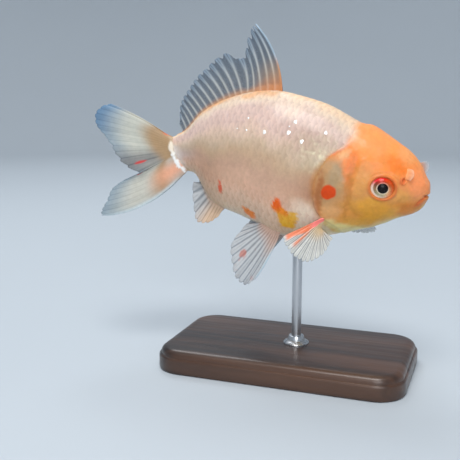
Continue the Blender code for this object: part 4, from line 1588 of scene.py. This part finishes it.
def tail_paint(t, r, rays, places):
    colours = tail_marks(tail_ground(t, r, rays), t, r, rays)
    clear = 0.97 - 0.10 * ramp(r, 0.25, 0.85) * (1 - rays) - 0.08 * ramp(r, 0.6, 1.0)
    return lay_band(colours, places)[0], clear


print(len(TAIL_STREAKS), "streaks at the fork")

# %% [markdown]
# The tails' rays are fine and their web is thick, so their shape is nearly smooth. Each whole tail
# stands for two solids, its upper and its lower lobe.

# %% Tails
TAIL_SHAPE = {
    "notch": 0.012, "ragged": 0.012, "spine": 0.5, "pleat": 0.06, "wave": 0.8, "waves": 2.3,
    "ray": 0.035, "forks": (0.2, 0.5), "flare": 0.65, "sink": 0.10, "fine": 11, "rows": 68,
}
for side in ("left", "right"):
    tail = fan(tail_root(side), tail_tips(side), tail_bow)
    lobes = (f"tail_fin_{side}_upper", f"tail_fin_{side}_lower")
    make_fin("tail_" + side, tail, TAIL_COUNT, TAIL_SHAPE, tail_paint, lobes)

# %% [markdown]
# ### The paired fins and the twin anal fins
#
# Behind the gills stand the pectoral fins, and the pelvic fins hang under the belly. Behind the
# vent lie two anal fins, one to each tail. Left and right could be mirrored, but a fish rows with
# its paired fins, so those are caught at different moments. The anal fins do match.

# %% Rays of the lower fins
PECTORAL_ROOT = ((18.6, radians(-29)), (16.8, radians(-45)))
PECTORAL_BOW = 1.5
PECTORAL_TIPS = {  # x, y and z, evenly over the fin
    "right": ((5.9, -22.0, -21.8), (8.4, -23.8, -24.8), (13.0, -25.0, -27.4),
              (18.2, -24.6, -27.7), (22.4, -20.8, -24.6), (23.6, -16.4, -19.9)),
    "left": ((12.0, 26.0, -22.4), (16.5, 27.5, -25.4), (22.0, 28.5, -26.6),
             (27.6, 27.5, -25.2), (30.4, 24.5, -21.8), (27.6, 18.6, -18.0)),
}
PELVIC_ROOT = ((0.9, radians(-63)), (-7.0, radians(-60)))
PELVIC_TIPS = {
    "right": ((-4.9, -13.0, -41.6), (-8.6, -14.0, -44.9), (-12.6, -14.5, -43.0),
              (-15.6, -13.4, -36.6), (-16.9, -11.4, -30.0), (-13.0, -8.0, -22.6)),
    "left": ((-10.5, 11.6, -41.4), (-14.0, 12.4, -43.6), (-17.4, 12.6, -42.0),
             (-19.4, 12.0, -36.6), (-19.2, 10.6, -30.6), (-15.6, 8.4, -24.2)),
}
ANAL_LEAN = -pi / 2 + radians(9)              # from the belly line towards the flank
ANAL_ROOT = ((-25.4, ANAL_LEAN), (-37.4, ANAL_LEAN))
ANAL_RAYS = (  # how far over the fin, x and z of the tip
    (0.0, -26.4, -22.4), (0.18, -28.6, -25.2), (0.36, -31.4, -26.8), (0.54, -34.6, -26.4),
    (0.70, -36.2, -22.6), (0.85, -37.3, -17.0), (1.0, -37.8, -11.0),
)
ANAL_SPLAY = 3.4


def body_root(side, ends):
    """A fin's root along the body, between two places given as x and angle."""
    (x, angle), (end_x, end_angle) = ends

    def root(t):
        return on_body(side, x + (end_x - x) * t, angle + (end_angle - angle) * t, ROOT_SUNK)

    return root


def curve_through(points):
    """A fin's tips, on a smooth curve through the points."""

    def tips(t):
        return spline(points, t)

    return tips


def anal_tips(side):
    def tips(t):
        return beside(ANAL_RAYS, (1, 2), SIGN[side] * ANAL_SPLAY, t)

    return tips


print("the anal fins hang", -min(row[2] for row in ANAL_RAYS), "mm under the middle")

# %% [markdown]
# A paired fin's middle bows outwards or forwards, as water presses on it. The anal fins are flat.

# %% Bows of the lower fins


def pectoral_bow(side):
    def bow(t):
        return np.broadcast_to((0, SIGN[side] * PECTORAL_BOW, 0), (*t.shape, 3))

    return bow


def pelvic_bow(t):
    return (1 - t[..., None]) ** 2 * np.array((1.3, 0.0, -0.6))


def straight(t):
    return np.zeros((*t.shape, 3))


print("a pectoral fin bows", PECTORAL_BOW, "mm outwards")

# %% [markdown]
# The leading ray of a pectoral fin is flushed pink and orange, and the far pectoral fin is painted
# paler, as painted light against the shade under the body. The pelvic fins are tan at the root
# with one rusty patch, and the anal fins turn from tan in front to clear grey behind.

# %% Paint of the lower fins


def pectoral_paint(t, r, rays, places):
    far = np.mean(places[..., 1]) > 0
    web = blend(linear(154, 148, 138), linear(132, 139, 144), r)
    colours = blend(web, linear(200, 200, 194), rays)
    # painted light: the far fin lies in the shade under the body, so it is painted paler
    if far:
        colours = blend(colours, linear(222, 228, 230), 0.6)
    colours = blend(colours, linear(220, 190, 144), 0.85 * ramp(r, 0.58, 0.12))
    width = 0.14 + 0.12 * ramp(r, 0.8, 0.35) + 0.05 * ramp(r, 0.32, 0.18)
    lead = ramp(width - t, 0.0, 0.07)
    flush = blend(linear(250, 128, 122), linear(226, 116, 70), ramp(r, 0.24, 0.40))
    colours = blend(colours, flush, 0.95 * lead * ramp(r, 0.98, 0.86))
    streak = hump(t - 0.25, 0.035) * ramp(r, 0.30, 0.5) * ramp(r, 0.92, 0.75)
    colours = blend(colours, linear(220, 118, 70), 0.9 * streak)
    return colours, (0.40 if far else 0.60) + 0.34 * rays + 0.4 * lead


def pelvic_paint(t, r, rays, places):
    web, lead = blend(linear(150, 150, 150), linear(134, 143, 152), r), hump(t, 0.05)
    colours = blend(web, linear(182, 184, 186), rays)
    tan = ramp(r, 0.34 + 0.25 * ramp(t, 0.45, 0.1), 0.04)
    colours = blend(colours, linear(208, 162, 134), 0.75 * tan)
    colours = blend(colours, linear(176, 200, 214), 0.8 * lead * ramp(r, 0.2, 0.5))
    patch = oval(t, r, (0.56, 0.72), (0.048, 0.095)) + 0.25 * mottle(places, 0.9)
    colours = blend(colours, linear(186, 104, 86), 0.8 * ramp(patch, 0.2, 0.7))
    return colours, 0.70 + 0.27 * rays + 0.3 * lead


def anal_paint(t, r, rays, places):
    fore = ramp(t, 0.78, 0.28)
    colours = blend(linear(132, 137, 142), linear(178, 180, 182), rays)
    tan = blend(linear(196, 160, 124), linear(216, 180, 146), rays)
    colours = blend(colours, tan, 0.85 * fore)
    colours = blend(colours, linear(210, 176, 150), 0.8 * ramp(r, 0.25, 0.04))
    return colours, 0.70 + 0.27 * rays + 0.2 * fore


print("paints ready")

# %% [markdown]
# The six fins share most numbers of their shape, and each kind changes a few of them.

# %% Lower fins
PECTORAL_COUNT, PELVIC_COUNT, ANAL_COUNT = 15, 11, 9
PAIRED_SHAPE = {
    "ragged": 0.015, "spine": 0.6, "pleat": 0.14, "wave": 0.6, "waves": 1.2,
    "ray": 0.13, "forks": (0.30, 0.62), "flare": 0.45, "sink": 0.06,
}
PECTORAL_SHAPE = {
    **PAIRED_SHAPE, "flare": 0.40, "sink": 0.10, "spine": 0.9, "spine_width": 0.9, "broad": 0.5
}
PELVIC_SHAPE = {**PAIRED_SHAPE, "notch": 0.03}
ANAL_SHAPE = {**PAIRED_SHAPE, "sink": 0.08, "notch": 0.07, "pleat": 0.2}

for side in ("left", "right"):
    pectoral = fan(body_root(side, PECTORAL_ROOT), curve_through(PECTORAL_TIPS[side]), pectoral_bow(side))
    make_fin("pectoral_" + side, pectoral, PECTORAL_COUNT, PECTORAL_SHAPE, pectoral_paint,
             ("pectoral_fin_" + side,))
    pelvic = fan(body_root(side, PELVIC_ROOT), curve_through(PELVIC_TIPS[side]), pelvic_bow)
    make_fin("pelvic_" + side, pelvic, PELVIC_COUNT, PELVIC_SHAPE, pelvic_paint,
             ("pelvic_fin_" + side,))
    anal = fan(body_root(side, ANAL_ROOT), anal_tips(side), straight)
    make_fin("anal_" + side, anal, ANAL_COUNT, ANAL_SHAPE, anal_paint, ("anal_fin_" + side,))

# %% [markdown]
# ## Eyes
#
# A fish's eye has no lids. A domed cornea lies over a flat iris, and the round lens bulges through
# the pupil. The iris here is silver behind and below, red above and rusty in front, with a pale
# ring round the pupil and a white rim behind and below. It could be a ball with a painted spot,
# but a dome drawn in rings and spokes lets the colours turn round the pupil and the lens stand
# out.

# %% Iris
PUPIL_PLACE = (0.10, -0.05)                   # forward and up from the middle, in millimetres
PUPIL_HALF = (1.92, 1.76)
IRIS = (  # angle round the pupil, 0 forward and 90 up, the paint by the pupil and at the rim
    # by the pupil the rear and the top are painted darker: partly the iris's own brown and partly painted
    # shade
    (-180, linear(138, 98, 70), linear(232, 214, 196)),
    (-150, linear(150, 134, 98), linear(244, 234, 220)),
    (-110, linear(184, 176, 142), linear(240, 230, 210)),
    (-75, linear(202, 184, 148), linear(232, 206, 176)),
    (-45, linear(224, 176, 128), linear(232, 160, 110)),
    (-10, linear(208, 148, 100), linear(212, 108, 56)),
    (25, linear(176, 92, 46), linear(196, 80, 30)),
    (60, linear(172, 66, 24), linear(206, 66, 26)),
    (90, linear(180, 40, 16), linear(216, 36, 20)),
    (118, linear(184, 32, 14), linear(234, 28, 24)),
    (145, linear(140, 52, 36), linear(242, 72, 78)),
    (164, linear(112, 70, 50), linear(238, 172, 160)),
    (180, linear(138, 98, 70), linear(232, 214, 196)),
)
INNER_WASH, OUTER_WASH = [row[:2] for row in IRIS], [(row[0], row[2]) for row in IRIS]


def iris_paint(fore, up):
    """Colours over the eye, from places in millimetres forward of and above its middle."""
    dx, dz = fore - PUPIL_PLACE[0], up - PUPIL_PLACE[1]
    pupil = np.hypot(dx / PUPIL_HALF[0], dz / PUPIL_HALF[1])
    edge = np.hypot(fore / EYE_HALF[0], up / EYE_HALF[1])
    around = np.degrees(np.arctan2(dz, dx))
    rear = ramp(np.cos(np.radians(around)) + 0.5 * np.sin(np.radians(around)), 0.1, -0.6)
    outer_share = ramp(edge, 0.60 + 0.12 * rear, 0.84 + 0.02 * rear)
    paint = blend(wash(INNER_WASH, around), wash(OUTER_WASH, around), outer_share)
    streaks = mottle(np.stack((around / 9, pupil * 1.2, 0 * pupil), -1), 1.0)
    paint = paint * (1 + 0.07 * streaks)[..., None]
    ring = hump(pupil - 1.10, 0.08) * (0.35 + 0.65 * ramp(up + 0.3 * fore, 0.9, -0.6))
    paint = blend(paint, linear(240, 222, 198), 0.9 * ring)
    paint = blend(paint, linear(206, 100, 46), ramp(edge, 0.95, 1.0) * (1 - 0.8 * rear))
    return np.clip(blend(paint, linear(12, 6, 8), ramp(pupil, 1.03, 0.97)), 0, 1), pupil


print(len(IRIS), "spokes of paint in the iris")

# %% [markdown]
# The dome fills the socket in the skin to just past the opening, so no gap can show. Its middle
# stands a little proud of the head. Behind its edge a wall runs into the head and closes it.

# %% Eye shape
EYE_PROUD = 0.83                              # the middle of the dome, over the plain body
EYE_FALL = 1.75                               # from the middle of the dome to its edge
EYE_OVERLAP = 1.01                            # the dome's size in openings
LENS_RISE, LENS_GROOVE = 0.24, 0.10
EYE_RINGS, EYE_SPOKES = 44, 96
WALL_DEPTHS, BACK_SHARE = (0.8, 2.6), 0.7     # how far in the wall goes, and the size of the back


def eye_points(side):
    """The dome's rings from the middle out, then a wall and a back inside the head."""
    station = np.array(float(station_at(EYE_X)))
    angle = np.array(EYE_ANGLE if side == "left" else pi - EYE_ANGLE)
    out = outward(station, angle)
    up = unit(np.array((0, 0, 1.0)) - out * out[2])
    fore = unit(np.cross(up, out))
    fore = fore * np.sign(fore[0])
    spoke = np.linspace(0, 2 * pi, EYE_SPOKES, endpoint=False)
    radius = np.linspace(0.01, 1, EYE_RINGS)[:, None]
    a = EYE_HALF[0] * EYE_OVERLAP * radius * np.cos(spoke)
    b = EYE_HALF[1] * EYE_OVERLAP * radius * np.sin(spoke)
    paint, pupil = iris_paint(a, b)
    lens = LENS_RISE * np.sqrt(np.clip(1 - pupil**2, 0, 1)) - LENS_GROOVE * hump(pupil - 1.12, 0.12)
    rise = EYE_PROUD - EYE_FALL * radius**2.2 + lens
    dome = body(station, angle) + fore * a[..., None] + up * b[..., None] + out * rise[..., None]
    wall = dome[-1] - out * np.array(WALL_DEPTHS)[:, None, None]
    wall[1] = wall[1].mean(0) + (wall[1] - wall[1].mean(0)) * BACK_SHARE
    return np.concatenate((dome, wall)), np.concatenate((paint, np.repeat(paint[-1:], 2, 0)))


print("an eye shows", (2 * EYE_HALF).tolist(), "mm")

# %% [markdown]
# The iris is a thin sheet behind a clear cornea. Fine fibres mottle it, and the cornea is the
# shader's coat, smooth and no more glossy than water. It gives the eye its living highlight. A
# shell of glass over the dome would do it too, but it's slow to draw and shows little more.

# %% Eyes


def make_eye(side):
    points, paint = eye_points(side)
    faces = tube_faces(len(points), EYE_SPOKES, flip=side == "left")
    piece = make_piece("eye_globe_" + side, pose(points), faces, paint)
    piece.data.materials.append(eye_finish)
    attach(piece, "root")
    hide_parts("eye_" + side)
    print(piece.name, triangles(piece), "triangles")


eye_finish, nodes, links, shader = new_material("eye_wet")
fibre = noise_node(nodes, links, 1800.0).outputs["Fac"]
mottled_tint(nodes, links, shader, fibre, 0.90, 1.06)
links.new(ranged(nodes, links, fibre, 0.3, 0.7, 0.22, 0.34), shader.inputs["Roughness"])
shader.inputs["Specular IOR Level"].default_value = 0.15
shader.inputs["Coat Weight"].default_value = 0.25
shader.inputs["Coat Roughness"].default_value = 0.04
shader.inputs["Coat IOR"].default_value = 1.33
for side in ("left", "right"):
    make_eye(side)

# %% [markdown]
# ## Nostril flaps
#
# In front of each nostril stands a small flap of thin skin, leaning forward, that steers water
# into it. It could be pulled out of the skin, but the fins' maker already knows how to root a thin
# sheet on the body, so a flap is a tiny fin with no rays to speak of.

# %% Nostril flaps
FLAP_ROOT_X = {"left": 45.4, "right": 44.4}
FLAP_ANGLES = {"left": (radians(20), radians(54)), "right": (radians(20), radians(42))}
FLAP_LENGTH = {"left": 4.4, "right": 2.8}
FLAP_LEAN = {"left": radians(12), "right": radians(50)}
FLAP_PAINTS = {  # towards the middle, at the tip, how much clearer the tip is
    # the left flap's paler paint is partly its thin skin and partly painted light, lifting it out of its
    # own shade
    "left": (linear(240, 190, 160), linear(224, 230, 234), 0.3),
    "right": (linear(242, 158, 104), linear(246, 186, 146), 0.45),
}
FLAP_COUNT, FLAP_SUNK = 2, -0.1
FLAP_SHAPE = {
    "notch": 0.0, "pleat": 0.0, "ray": 0.10, "rows": 24, "fine": 12, "flare": 0.20, "sink": 0.20
}


def flap_place(side):
    station = float(station_at(FLAP_ROOT_X[side]))
    (low, high), lean = FLAP_ANGLES[side], FLAP_LEAN[side]

    def place(t, r):
        angle = low + (high - low) * t
        angle = angle if side == "left" else pi - angle
        stations = np.full(t.shape, station)
        root = over_body(stations, angle, np.full(t.shape, FLAP_SUNK))
        reach = FLAP_LENGTH[side] * r * (1 - 0.35 * (2 * t - 1) ** 2)
        lie = unit(body(stations + 0.002, angle) - body(stations, angle))
        way = outward(stations, angle) * cos(lean) + lie * sin(lean)
        return root + way * reach[..., None]

    return place


def flap_paint(side):
    middle, tip, fading = FLAP_PAINTS[side]

    def paint(t, r, rays, places):
        colours = blend(linear(246, 152, 88), middle, ramp(r, 0.0, 0.35))
        return blend(colours, tip, ramp(r, 0.3, 1.0)), 0.95 - fading * ramp(r, 0.2, 1.0)

    return paint


for side in ("left", "right"):
    make_fin("flap_" + side, flap_place(side), FLAP_COUNT, FLAP_SHAPE, flap_paint(side),
             ("nostril_flap_" + side,))

# %% [markdown]
# ## The stand
#
# The stand is plain, so that it keeps out of the way: a dark hardwood board with rounded corners
# and a routed edge, a turned steel socket, and a brushed steel rod up to the belly. A bevelled box
# would do for the board, but its edge would be one plain curve. So it is drawn as one outline
# carried up through a profile of insets, the way a router cuts an edge.

# %% Board
BASE_SIZE = (96.0, 54.0)
BASE_CORNER, CORNER_STEPS = 11.0, 12
BASE_PROFILE = (  # inset, height, round the edge from below
    (1.2, 0.0), (0.45, 0.12), (0.12, 0.45), (0.0, 1.0), (0.0, 5.2), (0.10, 5.7), (0.42, 6.1),
    (0.80, 6.25), (0.86, 6.45), (0.95, 7.2), (1.35, 7.95), (2.0, 8.5), (2.9, 8.85), (3.9, 9.0),
)
CORNERS = ((1, 1), (-1, 1), (-1, -1), (1, -1))


def board_ring(inset, height):
    """A rectangle with round corners, drawn in by inset."""
    half_x, half_y = BASE_SIZE[0] / 2 - BASE_CORNER, BASE_SIZE[1] / 2 - BASE_CORNER
    radius = BASE_CORNER - inset
    ring = []
    for quarter, (sx, sy) in enumerate(CORNERS):
        swing = (quarter + np.linspace(0, 1, CORNER_STEPS)) * pi / 2
        x, y = sx * half_x + radius * np.cos(swing), sy * half_y + radius * np.sin(swing)
        ring.append(np.stack((x, y, np.full(CORNER_STEPS, height)), -1))
    return np.concatenate(ring)


rings = np.array([board_ring(inset, height) for inset, height in BASE_PROFILE])
board_faces = tube_faces(len(rings), len(CORNERS) * CORNER_STEPS)
board = make_piece("stand_board", rings * MM, board_faces, sharp=radians(28))
print("board", triangles(board), "triangles")

# %% [markdown]
# Walnut is told by its long dark streaks and its short open pores. Both are noise stretched along
# the grain. The streaks colour the wood and the pores dull and dent it, under a thin varnish.

# %% Board finish
walnut, nodes, links, shader = new_material("dark_walnut")
grain = noise_node(nodes, links, 60.0, 6.0, stretch=(0.12, 1.6, 1.6))
grain.inputs["Distortion"].default_value = 0.6
streaks = ranged(nodes, links, grain.outputs["Fac"], 0.38, 0.66, 0.0, 1.0)
two_tone(nodes, links, shader, streaks, linear(34, 22, 17), linear(86, 58, 42))
pores = noise_node(nodes, links, 520.0, stretch=(0.05, 1.0, 1.0)).outputs["Fac"]
links.new(ranged(nodes, links, pores, 0.35, 0.65, 0.30, 0.44), shader.inputs["Roughness"])
roughen(nodes, links, shader, pores, 0.25, 0.0002)
shader.inputs["Coat Weight"].default_value = 0.25
shader.inputs["Coat Roughness"].default_value = 0.18
board.data.materials.append(walnut)
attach(board, "root")
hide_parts("stand_base")
print("board finished")

# %% [markdown]
# Rod and socket are turned pieces: a profile of radii and heights, carried round an axis. Plain
# cylinders would have sharp rims, and those never look like turned steel. Brushing leaves long
# fine marks, which are noise stretched along the height.

# %% Steel and lathe
ROD_X = 2.8
TURNED_SIDES = 64

steel, nodes, links, shader = new_material("brushed_steel")
brushed = noise_node(nodes, links, 900.0, 4.0, stretch=(1.0, 1.0, 0.02)).outputs["Fac"]
two_tone(nodes, links, shader, brushed, linear(176, 178, 182), linear(212, 213, 215))
shader.inputs["Metallic"].default_value = 1.0
links.new(ranged(nodes, links, brushed, 0.3, 0.7, 0.22, 0.38), shader.inputs["Roughness"])
roughen(nodes, links, shader, brushed, 0.15, 0.00005)


def turned(name, profile, replaced):
    """A piece turned on a lathe: its profile is radius and height, in metres, from below."""
    swing = np.linspace(0, 2 * pi, TURNED_SIDES, endpoint=False)
    radius, height = np.array(profile)[:, :1], np.array(profile)[:, 1:]
    x, y = ROD_X * MM + radius * np.cos(swing), radius * np.sin(swing)
    points = np.stack((x, y, height + 0 * swing), -1)
    faces = tube_faces(len(profile), TURNED_SIDES)
    piece = make_piece(name, points, faces, sharp=radians(35))
    piece.data.materials.append(steel)
    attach(piece, "root")
    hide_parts(replaced)
    print(name, triangles(piece), "triangles")


print("the lathe turns in", TURNED_SIDES, "steps")

# %% [markdown]
# The heights of the two pieces are read off their solids. The rod's top is rounded, and goes a
# little further into the belly, where nothing shows. The socket is a flange with a collar on it.

# %% Rod and socket
ROD_RADIUS, SOCKET_RADIUS = 1.9 * MM, 5.0 * MM
SUNK = 0.3 * MM                               # how far each goes down into what it stands on
INTO_BELLY = 0.9 * MM
rod_low, rod_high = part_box("stand_rod")
socket_low, socket_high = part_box("stand_socket")

radius, foot, top = ROD_RADIUS, rod_low.z - SUNK, rod_high.z + INTO_BELLY
rod_profile = (
    (radius, foot), (radius, top - 0.9 * radius), (radius * 0.92, top - 0.45 * radius),
    (radius * 0.7, top - 0.15 * radius), (radius * 0.25, top),
)
turned("support_rod", rod_profile, "stand_rod")

wide, low, high = SOCKET_RADIUS, socket_low.z - SUNK, socket_high.z
socket_profile = (
    (wide, low), (wide, low + 0.45 * MM), (wide * 0.95, low + 0.75 * MM),
    (wide * 0.80, low + 1.0 * MM), (wide * 0.66, low + 1.5 * MM), (wide * 0.60, high - 0.45 * MM),
    (wide * 0.57, high - 0.12 * MM), (wide * 0.50, high), (wide * 0.385, high),
)
turned("rod_socket", socket_profile, "stand_socket")
print("rod", round(rod_high.z - rod_low.z, 4), "m tall")
